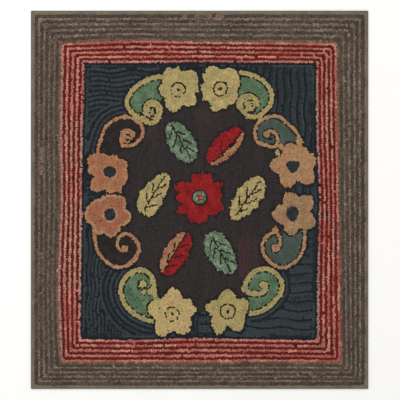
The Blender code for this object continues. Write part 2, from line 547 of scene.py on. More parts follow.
print(len(LEAVES), "leaves")

# %% [markdown]
# ## The wreath and the ground
# The flowers and curls stand in a ring, and the ground changes wool there: brown inside, slate
# outside. The line between the two simply joins the middles of the flowers and curls, so it needs no
# points of its own.

# %% Ground inside and outside the wreath
wreath_middles = [(motif.x, motif.y) for motif in FLOWERS[:8] + SCROLLS]
wreath = np.array(sorted(wreath_middles, key=lambda place: math.atan2(place[1], place[0])))


def inside_wreath(x, y):
    return encloses(wreath, x, y)


def outside_wreath(x, y):
    return not encloses(wreath, x, y)


def ground_wool(x, y):
    return "brown_ground" if inside_wreath(x, y) else "slate_ground"


print("the wreath's line has", len(wreath), "corners")

# %% [markdown]
# ## Pulling the loops
# A maker hooks the drawing first and the ground last, and never pulls a loop where one already
# stands. The same rule decides every place here. A loop keeps its own room on the cloth, and a new
# one is left out where it would crowd a loop of another row. Rows of ground can therefore be laid
# straight across a flower: they stop at its edge by themselves.
# The wool comes in strips about 250 mm long, and each loop takes some 17 mm of it, so one shade lasts
# for a dozen loops or so and then the next strip begins.


# %% The cloth being hooked
@dataclass
class Loop:
    """One loop: where it stands, which way its row runs, the room it takes, and its wool."""

    x: float
    y: float
    heading: float
    half_width: float
    wool: str
    dye: float
    row: int
    fray: float = 1.0
    back: float = 2.4
    front: float = 2.4
    left: float = 3.1
    right: float = 3.1


HALF_ROW = ROW_PITCH / 2
LOOP_PITCH = 4.8
CROWDING = 0.76
CELL = 7.6
STRIP_LOOPS = (9, 26)
SIDE_DRIFT = 0.55
PITCH_DRIFT = 0.55
TURN_DRIFT = 0.16
DYE_DRIFT = 0.05
ROW_SWAY = 0.9
SWAY_LENGTH = 16.0

hand = random.Random(11)
row_numbers = itertools.count()
loops = []
cells = {}


def cell_of(x, y):
    return int(x // CELL), int(y // CELL)


def nearby(x, y):
    """Every loop in the nine cells about a place."""
    column, line = cell_of(x, y)
    for across in (column - 1, column, column + 1):
        for along in (line - 1, line, line + 1):
            yield from cells.get((across, along), ())


def crowded(x, y, half_width, row, crowding=CROWDING):
    """True where a loop of another row stands too near for one more."""
    for other in nearby(x, y):
        room = crowding * (half_width + other.half_width)
        if other.row != row and (x - other.x) ** 2 + (y - other.y) ** 2 < room * room:
            return True
    return False


def pull_loop(x, y, heading, half_width, wool, dye, row, crowding=CROWDING, fray=1.0):
    """Pulls one loop unless it would crowd its neighbours."""
    if crowded(x, y, half_width, row, crowding):
        return
    loop = Loop(x, y, heading, half_width, wool, min(max(dye, 0.0), 1.0), row, fray)
    loops.append(loop)
    cells.setdefault(cell_of(x, y), []).append(loop)


def patchy(x, y, shades, mottle):
    """A dye that drifts over the plan in patches of mottle millimetres."""
    patch = 0.5 + 0.8 * noise.noise(Vector((x / mottle, y / mottle, 0.5)))
    return shades[0] + (shades[1] - shades[0]) * patch


def hook_row(line, wool, half_width=HALF_ROW, pitch=LOOP_PITCH, closed=False, shades=(0.1, 0.9),
             within=None, drift=1.0, crowding=CROWDING, mottle=None, fray=1.0, strip=STRIP_LOOPS):
    """Pulls loops along a line. wool is a name, or a function that gives one for each place.

    The dye changes with each strip, or drifts over the plan in patches of mottle millimetres. Fray is
    how unevenly the loops of the row spread to its sides.
    """
    if len(line) < 2:
        return
    row = next(row_numbers)
    places = even_steps(line, pitch, closed)
    first_step = hand.uniform(-pitch / 2, pitch / 2)
    left_on_strip = 0
    for step, ((x, y), (ahead_x, ahead_y)) in enumerate(zip(places, headings(places, closed))):
        if left_on_strip == 0:
            left_on_strip = hand.randint(*strip)
            strip_dye = hand.uniform(*shades)
        left_on_strip -= 1
        if mottle is not None:
            strip_dye = patchy(x, y, shades, mottle)
        sway = ROW_SWAY * noise.noise(Vector((step * pitch / SWAY_LENGTH, row * 1.7, 0.3)))
        aside = hand.gauss(0, SIDE_DRIFT) * drift + sway
        along = hand.gauss(0, PITCH_DRIFT) * drift + first_step
        turn = hand.gauss(0, TURN_DRIFT) * drift
        dye = strip_dye + hand.gauss(0, DYE_DRIFT)
        if within is not None and not within(x, y):
            continue
        x += ahead_x * along - ahead_y * aside
        y += ahead_y * along + ahead_x * aside
        loop_wool = wool if isinstance(wool, str) else wool(x, y)
        heading = math.atan2(ahead_y, ahead_x) + turn
        pull_loop(x, y, heading, half_width, loop_wool, dye, row, crowding, fray)


# %% [markdown]
# ## The border
# Outside are ten rows of taupe, dark and light by turns, and inside them nine rows that go by turns
# from pink to red. The light rows are hooked a little finer, so the dark ones look wide.

# %% Hook the border
Row = namedtuple("Row", "wool half_width pitch shades strip")
DARK_TAUPE = Row("dark_taupe", 3.8, 5.2, (0.2, 0.6), (4, 12))
LIGHT_TAUPE = Row("light_taupe", 2.4, 6.2, (0.0, 0.9), (1, 4))
INNER_TAUPE = Row("dark_taupe", 3.1, 5.2, (0.65, 0.9), (4, 12))
PINK = Row("stripe_pink", 2.9, 6.0, (0.1, 0.7), (2, 12))
RED = Row("stripe_red", 3.3, 5.2, (0.45, 0.85), STRIP_LOOPS)
BORDER_CROWDING = 0.68
BORDER_FRAY = 2.3
BORDER = [DARK_TAUPE, LIGHT_TAUPE] * 4 + [DARK_TAUPE, INNER_TAUPE] + [PINK, RED] * 4 + [PINK]

for number, row in enumerate(BORDER):
    line = border_line(number + 0.5)
    hook_row(line, row.wool, row.half_width, row.pitch, closed=True, shades=row.shades,
             crowding=BORDER_CROWDING, fray=BORDER_FRAY, strip=row.strip)
print(len(BORDER), "rows of border,", len(loops), "loops")

# %% [markdown]
# ## Dark outlines, eyes and veins
# Thin dark rows draw what lies inside a motif: the ring in a cream flower, the veins of a leaf and the
# line along the inner side of each stem. They are hooked before the colours, which then fill up to
# them.

# %% Hook the dark lines
THIN = 1.6
RIB = 2.0
THIN_PITCH = 3.6
DOT_HALF = 2.6
BUTTON_EDGE_HALF = 2.2
WANDER = 1.6
WANDER_STEP = 6.0
RING_WANDER = 1.2
FIRST_VEIN = 7
VEIN_SPAN = 23
VEIN_RUN = 6
VEIN_CLEAR = 0.15
STEM_HALF = {"cream": 5.4, "orange": 4.0}
Ring = namedtuple("Ring", "radius dot gaps")
RINGS = (
    Ring(18.0, 1.5, ((-68, -36), (-98, -82), (-138, -112), (-172, -152), (158, 174))),
    Ring(17.5, 2.6, ((-62, -48),)),
    Ring(17.5, 1.5, ((42, 64), (-26, -6), (-82, -58), (-150, -118), (135, 165))),
    Ring(19.0, 2.0, ((80, 93),)),
)
Hole = namedtuple("Hole", "radius wide pointed")
HOLES = {
    4: Hole(15.0, 1.08, 0.04), 5: Hole(15.0, 1.0, 0.03), 6: Hole(16.0, 1.0, 0.13),
    7: Hole(17.0, 0.9, 0.05),
}
BUTTON_RADIUS = 18.5
BUTTON_MIDDLE = 7.5
BUTTON_SHADES = (0.3, 1.0)


def hook_dark(line, closed=False, half_width=THIN, within=None):
    hook_row(line, "dark_line", half_width, THIN_PITCH, closed, (0.0, 1.0), within, fray=2.0)


def wandering(line, closed=False, by=WANDER):
    """The line with every few millimetres pushed a little off its course."""
    points = even_steps(line, WANDER_STEP, closed)
    return points + np.array([[hand.uniform(-by, by), hand.uniform(-by, by)] for _ in points])


def vein_lines(leaf):
    """The midrib, and short veins that start near it by turns on the left and right."""
    lines = [wandering(leaf_points(leaf, leaf.rib)[4:-3])]
    for vein in range(leaf.veins):
        side = 1 if vein % 2 else -1
        start = FIRST_VEIN + int(vein * VEIN_SPAN / leaf.veins)
        reach = hand.uniform(0.5, 0.75) * side
        near = leaf_points(leaf, leaf.rib + VEIN_CLEAR * side)[start]
        lines.append(wandering(np.array([near, leaf_points(leaf, reach)[start + VEIN_RUN]])))
    return lines


def broken(flower, gaps):
    """A test that is true except at the bearings in the gaps, seen from the flower's centre."""
    def kept(x, y):
        bearing = math.degrees(math.atan2(y - flower.y, x - flower.x))
        return not any((bearing - low) % 360 < high - low for low, high in gaps)

    return kept


for flower, ring in zip(FLOWERS, RINGS):
    line = wandering(circle(flower.x, flower.y, ring.radius), True, RING_WANDER)
    hook_dark(line, True, RIB, within=broken(flower, ring.gaps))
    hook_dark(circle(flower.x, flower.y, ring.dot, steps=8), closed=True, half_width=DOT_HALF)
button = FLOWERS[-1]
hook_dark(circle(button.x, button.y, BUTTON_RADIUS), closed=True, half_width=BUTTON_EDGE_HALF)
for leaf in LEAVES:
    for line in vein_lines(leaf):
        hook_dark(line, half_width=RIB)
print(len(loops), "loops so far")

# %% [markdown]
# ## Filling a motif
# A motif is filled from its edge inwards, row inside row. Its loops are finer than those of the ground
# and stand every way, so their rows hardly show. Along each edge every second loop or so stands square
# to it, and these give the edges their teeth. Where the rows leave room inside a motif, one more loop
# of its own wool goes in at once.

# %% Tools that fill a motif
MOTIF_PITCH = 5.2
MOTIF_LOOP = 4.3
MOTIF_HALF = MOTIF_PITCH / 2
MOTIF_DRIFT = 1.6
MOTTLE = 15.0
MOTIF = {
    "half_width": MOTIF_HALF, "pitch": MOTIF_LOOP, "closed": True, "shades": (0.0, 1.0),
    "drift": MOTIF_DRIFT, "mottle": MOTTLE, "fray": 1.5,
}
EDGE_STEP = 5.0
RAGGED = 1.8
EDGE_INSET = 4.4
TOOTH_STEP = 7.0
TOOTH_HALF = 1.9
TOOTH_DRIFT = 1.8
TOOTH_CROWDING = 0.45
EDGE_TEETH = (-3.7, -1.5)
PLUG_INSET = 2.8
PLUG_STEP = 1.6
PLUG_HALF = 2.0
motif_outlines = []


def ragged(outline):
    """The outline with every point moved in or out at random, as the hook happens to fall."""
    points = even_steps(outline, EDGE_STEP, closed=True)
    ahead = headings(points, closed=True)
    shifts = np.array([hand.uniform(-RAGGED, RAGGED) for _ in points])
    return points + np.column_stack([-ahead[:, 1], ahead[:, 0]]) * shifts[:, None]


def hook_motif(line, wool, **changes):
    """A row of the finer, looser loops of a flower, leaf or stem."""
    hook_row(line, wool, **{**MOTIF, **changes})


def hook_teeth(line, wool, shades, stand_out, closed=False, outwards=1):
    """Single loops square to an edge. Outwards is 1 where the line runs with its right side out."""
    row = next(row_numbers)
    edge = even_steps(line, TOOTH_STEP, closed)
    for (x, y), (ahead_x, ahead_y) in zip(edge, headings(edge, closed)):
        along = hand.uniform(-TOOTH_DRIFT, TOOTH_DRIFT)
        out = hand.uniform(*stand_out) * outwards
        place = (x + ahead_x * along + ahead_y * out, y + ahead_y * along - ahead_x * out)
        heading = math.atan2(ahead_y, ahead_x) + math.pi / 2 + hand.gauss(0, TURN_DRIFT)
        behind = (x - ahead_y * EDGE_INSET * outwards, y + ahead_x * EDGE_INSET * outwards)
        tooth_wool = wool if isinstance(wool, str) else wool(*behind)
        pull_loop(*place, heading, TOOTH_HALF, tooth_wool, hand.uniform(*shades), row, TOOTH_CROWDING)


def plug(outline, wool, shades, mottle=MOTTLE, around=None):
    """One more loop at each place inside the outline, and around any eye, that still has room."""
    motif_outlines.append(outline)
    west, south = outline.min(axis=0)
    east, north = outline.max(axis=0)
    for y in np.arange(south, north, PLUG_STEP):
        for x in np.arange(west, east, PLUG_STEP):
            if crowded(x, y, PLUG_HALF, None) or not encloses(outline, x, y):
                continue
            if around is None or not encloses(around, x, y):
                plug_wool = wool if isinstance(wool, str) else wool(x, y)
                dye = patchy(x, y, shades, mottle)
                pull_loop(x, y, hand.uniform(0, math.pi), PLUG_HALF, plug_wool, dye, next(row_numbers))


def fill_inwards(outline, wool, shades=(0.0, 1.0), rim=(0.0, 1.0), mottle=MOTTLE, rows=14, eye=None):
    """A motif: rows one inside the other, teeth along the edge, and no room left inside."""
    hook_motif(beside(outline, EDGE_INSET, closed=True), wool, shades=rim, mottle=mottle)
    for number in range(1, rows):
        line = beside(outline, EDGE_INSET + number * MOTIF_PITCH, closed=True)
        hook_motif(line, wool, shades=shades, mottle=mottle)
    hook_teeth(outline, wool, rim, EDGE_TEETH, closed=True)
    plug(beside(outline, PLUG_INSET, closed=True), wool, shades, mottle, eye)


def fill_disc(x, y, radius, wool, shades):
    """Rings of loops one inside the other."""
    for step in np.arange(radius - MOTIF_HALF, 0, -MOTIF_PITCH):
        hook_motif(circle(x, y, max(step, 1.5), steps=24), wool, shades=shades)
    plug(circle(x, y, radius), wool, shades)


print("a loop of a motif takes", MOTIF_LOOP, "mm of its row")

# %% [markdown]
# ## Stems and curls
# A cream stem is two rows side by side, and an orange one a single wide row. Where a curl ends, the
# maker thickened it to a knob, and a dark stroke or two keeps its turns apart.

# %% Hook the stems
STEM = {"closed": False, "mottle": None, "strip": (1, 3), "fray": 2.2}
STEM_SHADES = ((0.1, 0.5),) * 4 + ((0.35, 0.9),) * 2 + ((0.6, 1.0),) * 2
STEM_ROW_HALF = 2.8
STEM_CROWDING = 0.5
STEM_TEETH = (-2.8, -1.4)
KNOB_SHADES = {"cream": (0.1, 0.6), "orange": (0.5, 0.9)}
Knob = namedtuple("Knob", "x y radius wool")
Stroke = namedtuple("Stroke", "start end half_width")

STROKES = (
    Stroke((-125, 230), (-114, 229), 2.6), Stroke((-111, 227), (-110, 214), 3.8),
    Stroke((-112, 210), (-121, 205), 3.4), Stroke((-122, 204), (-136, 206), 2.8),
    Stroke((-136, 206), (-147, 216), 2.4),
    Stroke((111, 240), (112, 230), 2.6), Stroke((117, 248), (131, 247), 2.0),
    Stroke((131, 239), (132, 234), 2.0),
    Stroke((-153, -224), (-147, -219), 2.2), Stroke((-137, -218), (-130, -223), 2.0),
    Stroke((-154, -220), (-150, -205), 1.8),
    Stroke((-181, 163), (-172, 157), 1.8), Stroke((-182, 149), (-167, 146), 2.0),
    Stroke((171, 151), (181, 151), 3.0),
    Stroke((196, 127), (205, 118), 1.8), Stroke((205, 118), (200, 109), 1.8),
)
KNOBS = (
    Knob(-129, 224, 8, "cream"), Knob(121, 238, 19, "cream"),
    Knob(-142, -211, 10, "cream"), Knob(-139, -230, 5, "cream"), Knob(-122, -229, 7, "cream"),
    Knob(113, -222, 9, "cream"), Knob(158, -211, 8, "cream"),
    Knob(-181, 156, 15, "orange"), Knob(-190, 136, 6, "orange"), Knob(-187, -122, 9, "orange"),
    Knob(168, 162, 8, "orange"), Knob(189, -120, 10, "orange"), Knob(188, -76, 8, "orange"),
    Knob(194, 117, 6, "cream"),
)
INSIDES = (
    Knob(-120, 222, 21, "cream"), Knob(124, 232, 20, "dark_line"), Knob(202, 132, 8, "orange"),
    Knob(249, 143, 8, "orange"),
)

for scroll, shades in zip(SCROLLS, STEM_SHADES):
    stem = scroll_line(scroll)
    half_stem = STEM_HALF[scroll.wool]
    if scroll.wool == "cream":
        for side in (-1, 1):
            line = beside(stem, side * half_stem / 2)
            hook_motif(line, "cream", half_width=STEM_ROW_HALF, shades=shades, **STEM)
    else:
        hook_motif(stem, "orange", half_width=half_stem, crowding=STEM_CROWDING, shades=shades, **STEM)
    edges = [beside(stem, side * half_stem) for side in (-1, 1)]
    for edge, outwards in zip(edges, (1, -1)):
        hook_teeth(edge, scroll.wool, shades, STEM_TEETH, outwards=outwards)
    plug(np.vstack([edges[0], edges[1][::-1]]), scroll.wool, shades)
for stroke in STROKES:
    hook_dark(np.array([stroke.start, stroke.end]), half_width=stroke.half_width)
for knob in KNOBS:
    fill_disc(knob.x, knob.y, knob.radius, knob.wool, KNOB_SHADES[knob.wool])
    hook_dark(circle(knob.x, knob.y, knob.radius + THIN, steps=24), closed=True)
for inside in INSIDES:
    fill_disc(*inside, KNOB_SHADES.get(inside.wool, (0.0, 1.0)))
print(len(loops), "loops so far")

# %% [markdown]
# ## Eyes, flowers and leaves
# A flower's eye is hooked first: a dark ring in the cream ones, a slate hole in the orange ones and a
# pale button in the red one. A row or more goes round it, and the flower is then filled from its edge.
# A leaf has no eye, but two wools where it is split along its midrib.

# %% Hook the flowers and leaves
EYE_ROWS = (13.0, 7.0, 23.0)
HOLE_ROWS = 3
HOLE_SHADES = (0.3, 0.6)
HOLE_PLUG_INSET = 1.0
BUTTON_ROWS = (14.6, 10.4, 5.4, 1.5)
BUTTON_HALF = 2.1
FLOWER_SHADES = (
    (0.2, 0.8), (0.2, 0.8), (0.55, 1.0), (0.1, 0.65),
    (0.15, 0.7), (0.0, 0.4), (0.55, 0.95), (0.85, 1.0),
    (0.0, 1.0),
)
RIM_SHADES = {4: (0.4, 0.75), 5: (0.6, 0.85)}
LEAF_MOTTLE = 8.0
LEAF_ROWS = 7
PAST_EDGE = 1.2


def hole_outline(flower, hole, wider=0.0):
    """A round hole drawn out to three soft points, one of them downwards."""
    bearings = np.linspace(0, 360, 36, endpoint=False)
    reaches = (hole.radius + wider) * (1 + hole.pointed * np.cos(np.radians(3 * (bearings + 90))))
    return polar(0, 0, bearings, reaches) * (hole.wide, 1 / hole.wide) + (flower.x, flower.y)


def button_wool(x, y):
    """The red flower's button is hooked of short ends: pale green, and a rosy middle."""
    if math.hypot(x - button.x, y - button.y) < BUTTON_MIDDLE:
        return hand.choice(("crimson", "crimson", "orange"))
    return hand.choice(("leaf_green", "grey_green", "grey_green"))


for number, flower in enumerate(FLOWERS):
    shades = FLOWER_SHADES[number]
    rim = RIM_SHADES.get(number, shades)
    eye = None
    if flower.eye == "ring":
        for radius in EYE_ROWS:
            hook_motif(circle(flower.x, flower.y, radius), flower.wool, shades=shades)
    if flower.eye == "hole":
        hole = HOLES[number]
        eye = hole_outline(flower, hole)
        for inwards in range(HOLE_ROWS):
            ring = hole_outline(flower, hole, -MOTIF_HALF - inwards * MOTIF_PITCH)
            hook_motif(ring, "slate_ground", shades=HOLE_SHADES)
        plug(hole_outline(flower, hole, -HOLE_PLUG_INSET), "slate_ground", HOLE_SHADES)
        hook_motif(hole_outline(flower, hole, MOTIF_HALF), flower.wool, shades=rim)
    if flower.eye == "button":
        for radius in BUTTON_ROWS:
            line = circle(flower.x, flower.y, radius)
            hook_motif(line, button_wool, half_width=BUTTON_HALF, shades=BUTTON_SHADES, mottle=None,
                       strip=(1, 2))
        eye = circle(button.x, button.y, BUTTON_RADIUS)
        plug(eye, button_wool, BUTTON_SHADES)
        hook_motif(circle(flower.x, flower.y, BUTTON_RADIUS + BUTTON_EDGE_HALF + MOTIF_HALF), "crimson")
    fill_inwards(ragged(flower_outline(flower)), flower.wool, shades, rim, eye=eye)

for leaf in LEAVES:
    left_half = counterclockwise(np.vstack([leaf_points(leaf, PAST_EDGE), leaf_points(leaf, leaf.rib)[::-1]]))

    def leaf_wool(x, y, leaf=leaf, left_half=left_half):
        return leaf.left if encloses(left_half, x, y) else leaf.right

    fill_inwards(ragged(leaf_outline(leaf)), leaf_wool, mottle=LEAF_MOTTLE, rows=LEAF_ROWS)
print(len(loops), "loops so far")

# %% Hook the scrolls' inner sides
FILL_SHADES = {"scroll_green": (0.1, 0.8), "brown_ground": (0.0, 0.35), "grey_green": (0.35, 0.65)}
FILL_ROWS = 10
INNER_LINE_HALF = 2.6
OTHER_LINE_HALF = 2.2

for scroll in SCROLLS:
    stem = scroll_line(scroll)
    half_stem = STEM_HALF[scroll.wool]
    inner_side = 1 if scroll.knots[-1][0] > scroll.knots[0][0] else -1
    fill = scroll_fill(scroll)

    def in_fill(x, y, fill=fill):
        return encloses(fill, x, y)

    flower_edge = flower_outline(FLOWERS[scroll.flower])
    hook_dark(beside(stem, inner_side * (half_stem + THIN)), half_width=INNER_LINE_HALF)
    for line in (beside(stem, -inner_side * (half_stem + THIN)), beside(flower_edge, -THIN, closed=True)):
        hook_row(line, "dark_line", OTHER_LINE_HALF, THIN_PITCH, within=in_fill)
    shades = FILL_SHADES[scroll.fill]
    for number in range(FILL_ROWS):
        inwards = half_stem + 2 * THIN + MOTIF_HALF + number * MOTIF_PITCH
        hook_motif(beside(fill, inwards, closed=True), scroll.fill, shades=shades)
    plug(beside(fill, half_stem + 2 * THIN, closed=True), scroll.fill, shades, around=flower_edge)
print(len(loops), "loops so far")

# %% [markdown]
# ## The ground
# A narrow dark row goes once round every motif and sets it off; it is painted shadow, the dark edge
# where a motif meets the ground. Beyond it the slate runs a row or two along the border, the first of
# them dark as painted shadow along the inside of the stripes, and then in long, slightly wavy rows
# that change direction from one corner to the next, as they do where a maker turns the frame. The
# dark rows among the pale ones are partly darker streaks of the ground and partly painted shade in
# the grooves between rows. The brown inside the wreath runs up and down.

# %% Hook round the motifs
ECHO_HALF = 2.2
ECHO_CLEAR = 1.7
# The darkest dye for the narrow row round each motif: painted shadow at the motif's edge.
SHADOW_ECHO_SHADES = (0.0, 0.15)
LEAF_SHADOW_ECHO_SHADES = (0.0, 0.2)

for flower in FLOWERS:
    line = beside(flower_outline(flower), -ECHO_CLEAR, closed=True)
    hook_row(line, ground_wool, ECHO_HALF, THIN_PITCH, closed=True, shades=SHADOW_ECHO_SHADES)
for scroll in SCROLLS:
    for side in (-1, 1):
        line = beside(scroll_line(scroll), side * (STEM_HALF[scroll.wool] + ECHO_HALF))
        hook_row(line, ground_wool, ECHO_HALF, THIN_PITCH, shades=SHADOW_ECHO_SHADES)
for leaf in LEAVES:
    line = beside(leaf_outline(leaf), -ECHO_CLEAR, closed=True)
    hook_row(line, ground_wool, ECHO_HALF, THIN_PITCH, closed=True, shades=LEAF_SHADOW_ECHO_SHADES)
print(len(loops), "loops so far")

# %% Hook the ground
Corner = namedtuple("Corner", "west east south north bearing swell rows")
# DARK rows stand between the pale ones: partly darker streaks of the ground, partly painted shade in the
# grooves between rows.
DARK = (0.0, 0.2)
PALE = (0.45, 0.85)
PALEST = (0.50, 0.95)
PLAIN_BROWN = (0.3, 0.55)
CORNERS = (
    Corner(-300, 0, 0, 350, 2, 3.0, ((7.4, PALE), (4.4, DARK))),
    Corner(0, 300, 0, 350, 89, 2.5, ((6.2, PALE), (6.2, (0.35, 0.7)), (5.0, DARK))),
    Corner(-300, 0, -350, 0, 88, 2.5, ((5.6, PALE), (3.4, DARK))),
    Corner(0, 300, -350, 0, -2, 3.0, ((6.2, PALEST), (6.2, PALEST), (5.6, PALE), (4.6, DARK))),
)
MEDALLION = Corner(-300, 300, -350, 350, 86, 5.0, ((6.0, PLAIN_BROWN),))
LONG_STRIP = (25, 60)
# The first row along the border takes the DARK dye: painted shadow along the inside of the stripes.
BORDER_ECHOES = ((0.45, 2.5, DARK), (1.35, HALF_ROW, (0.2, 0.8)))
WAVE_LENGTH = 95.0
SCROLL_ECHOES = {4: 5, 2: 7, 3: 2}


def ground_rows(corner, wool, within):
    """Long rows across a part of the field. Each wanders from straight, and the next follows it."""
    middle = np.array([(corner.west + corner.east) / 2, (corner.south + corner.north) / 2])
    reach = math.hypot(corner.east - corner.west, corner.north - corner.south) / 2
    turn = math.radians(corner.bearing)
    ahead = np.array([math.cos(turn), math.sin(turn)])
    left = np.array([-ahead[1], ahead[0]])
    along = np.arange(-reach, reach, 4.0)
    aside = -reach
    for width, shades in itertools.cycle(corner.rows):
        aside += width / 2
        sway = corner.swell * np.sin(along / WAVE_LENGTH * 2 * math.pi + aside / 60)
        line = middle + ahead * along[:, None] + left * (aside + sway)[:, None]
        kept = (
            (line[:, 0] > corner.west) & (line[:, 0] < corner.east)
            & (line[:, 1] > corner.south) & (line[:, 1] < corner.north)
        )
        hook_row(line[kept], wool, width / 2, within=within, shades=shades, strip=LONG_STRIP)
        aside += width / 2
        if aside > reach:
            break


for rows_in, half_width, shades in BORDER_ECHOES:
    line = border_line(TAUPE_ROWS + STRIPED_ROWS + rows_in)
    hook_row(line, "slate_ground", half_width, closed=True, shades=shades)
for number, echoes in SCROLL_ECHOES.items():
    scroll = SCROLLS[number]
    outer_side = -1 if scroll.knots[-1][0] > scroll.knots[0][0] else 1
    clear = STEM_HALF[scroll.wool] + 2 * ECHO_HALF
    for echo in range(echoes):
        line = beside(scroll_line(scroll, FILL_TURN), outer_side * (clear + (echo + 0.5) * ROW_PITCH))
        shades = DARK if echo % 2 else PALE
        hook_row(line, "slate_ground", within=outside_wreath, shades=shades, strip=LONG_STRIP)
for corner in CORNERS:
    ground_rows(corner, "slate_ground", outside_wreath)
ground_rows(MEDALLION, "brown_ground", inside_wreath)
print(len(loops), "loops so far")

# %% [markdown]
# ## Filling the gaps
# Where rows meet at an angle, small bare places are left. The maker goes back and pulls a loop or two
# into each, of the wool beside it. Here every place of a fine grid is tried in turn.

# %% Fill the gaps
GAP_HALF = 2.2
GAP_STEP = 1.7
GROUND_FIRST = 3.0
MOTIF_WOOLS = ("cream", "orange", "crimson", "leaf_green", "scroll_green", "grey_green")
before_filling = len(loops)
field_west, field_south = border_line(0.5).min(axis=0)
field_east, field_north = border_line(0.5).max(axis=0)


def best_neighbour(x, y):
    """The loop that grows into a bare place: the nearest one, but outside the motifs rather ground."""
    ground_first = 0.0 if any(encloses(outline, x, y) for outline in motif_outlines) else GROUND_FIRST

    def distance(loop):
        return math.hypot(loop.x - x, loop.y - y) + ground_first * (loop.wool in MOTIF_WOOLS)

    return min((loop for loop in nearby(x, y) if loop.wool != "dark_line"), key=distance, default=None)


for y in np.arange(field_south, field_north, GAP_STEP):
    for x in np.arange(field_west, field_east, GAP_STEP):
        if crowded(x, y, GAP_HALF, None):
            continue
        nearest = best_neighbour(x, y)
        if nearest is None:
            continue
        row = next(row_numbers)
        pull_loop(x, y, nearest.heading, GAP_HALF, nearest.wool, nearest.dye, row)
print(len(loops) - before_filling, "loops fill gaps")

# %% [markdown]
# ## Letting the loops settle
# Wool is soft, so each loop spreads until it meets its neighbours, and a little over or under them.
# For every loop the script finds the nearest one ahead, behind, to the left and to the right, and
# shares the distance between them, with a random overlap that makes the edges of colours ragged.

# %% Settle the loops
LEAST_SIDE = 1.5
MOST_SIDE = 3.6
LEAST_END = 1.7
MOST_END = 2.9
ROW_SIDE_REACH = 3.0
ROW_END_REACH = 2.3
OVERLAP = 1.20
SNUG_OVERLAP = 1.32
FRAYING = 0.18


def settle(loop):
    """Spreads a loop to halfway between it and each neighbour."""
    ahead_x = math.cos(loop.heading)
    ahead_y = math.sin(loop.heading)
    room = {"left": MOST_SIDE, "right": MOST_SIDE, "front": MOST_END, "back": MOST_END}
    for other in nearby(loop.x, loop.y):
        if other is loop:
            continue
        off_x = other.x - loop.x
        off_y = other.y - loop.y
        along = off_x * ahead_x + off_y * ahead_y
        aside = off_y * ahead_x - off_x * ahead_y
        share = loop.half_width / (loop.half_width + other.half_width)
        if abs(along) < ROW_SIDE_REACH and abs(aside) > abs(along):
            side = "left" if aside > 0 else "right"
            room[side] = min(room[side], abs(aside) * share)
        if abs(aside) < ROW_END_REACH and abs(along) > abs(aside):
            end = "front" if along > 0 else "back"
            room[end] = min(room[end], abs(along) / 2)
    fraying = FRAYING * loop.fray
    overlap = SNUG_OVERLAP if loop.wool in MOTIF_WOOLS else OVERLAP
    loop.left = max(room["left"], LEAST_SIDE) * (overlap + hand.uniform(-fraying, fraying))
    loop.right = max(room["right"], LEAST_SIDE) * (overlap + hand.uniform(-fraying, fraying))
    loop.front = max(room["front"], LEAST_END) * (overlap + hand.uniform(-FRAYING, FRAYING))
    loop.back = max(room["back"], LEAST_END) * (overlap + hand.uniform(-FRAYING, FRAYING))


for loop in loops:
    settle(loop)

# %% Close the last pinholes
CHECK_STEP = 1.2
CORNER_CUT = 1.7
PINHOLE_REACH = 6.0
MOST_SPREAD = 5.0
PAST = 1.18


def own_axes(loop, off_x, off_y):
    """How far places lie to the left of a loop and ahead of it."""
    ahead_x = math.cos(loop.heading)
    ahead_y = math.sin(loop.heading)
    return off_y * ahead_x - off_x * ahead_y, off_x * ahead_x + off_y * ahead_y


def covered_by(loop, off_x, off_y):
    """True where a loop's eight-sided shoulder hides the cloth."""
    aside, along = own_axes(loop, off_x, off_y)
    half_wide = (loop.left + loop.right) / 2
    half_long = (loop.front + loop.back) / 2
    across = np.abs(aside - (loop.left - loop.right) / 2) / half_wide
    length = np.abs(along - (loop.front - loop.back) / 2) / half_long
    return (across < 1) & (length < 1) & (across + length < CORNER_CUT)


checks_x = np.arange(field_west, field_east, CHECK_STEP)
checks_y = np.arange(field_south, field_north, CHECK_STEP)
hidden = np.zeros((len(checks_x), len(checks_y)), bool)
for loop in loops:
    west, east = np.searchsorted(checks_x, (loop.x - PINHOLE_REACH, loop.x + PINHOLE_REACH))
    south, north = np.searchsorted(checks_y, (loop.y - PINHOLE_REACH, loop.y + PINHOLE_REACH))
    off_x = checks_x[west:east, None] - loop.x
    off_y = checks_y[None, south:north] - loop.y
    hidden[west:east, south:north] |= covered_by(loop, off_x, off_y)

pinholes = np.argwhere(~hidden)
for column, line in pinholes:
    x = checks_x[column]
    y = checks_y[line]
    nearest = best_neighbour(x, y)
    if nearest is None:
        continue
    aside, along = own_axes(nearest, x - nearest.x, y - nearest.y)
    wider = "left" if aside > 0 else "right"
    longer = "front" if along > 0 else "back"
    setattr(nearest, wider, max(getattr(nearest, wider), min(abs(aside) * PAST, MOST_SPREAD)))
    setattr(nearest, longer, max(getattr(nearest, longer), min(abs(along) * PAST, MOST_SPREAD)))
print(f"{len(pinholes) / hidden.size:.1%} of the cloth showed, and the loops beside it were spread")
widths = sorted(loop.left + loop.right for loop in loops)
print(f"{len(loops)} loops, middle width {widths[len(widths) // 2]:.1f} mm")

# %% [markdown]
# ## Dye patches
# Old wool fades and dye baths differ, so some stretches of the border stand out: a tan run in the
# pink, a few almost black loops in the red, and maroon showing in the brown ground. Each patch is a
# box on the plan that changes the dye of one wool inside it.

# %% Patches of other dye
Patch = namedtuple("Patch", "wool west east south north dye")
PATCH_EDGE = 5.0

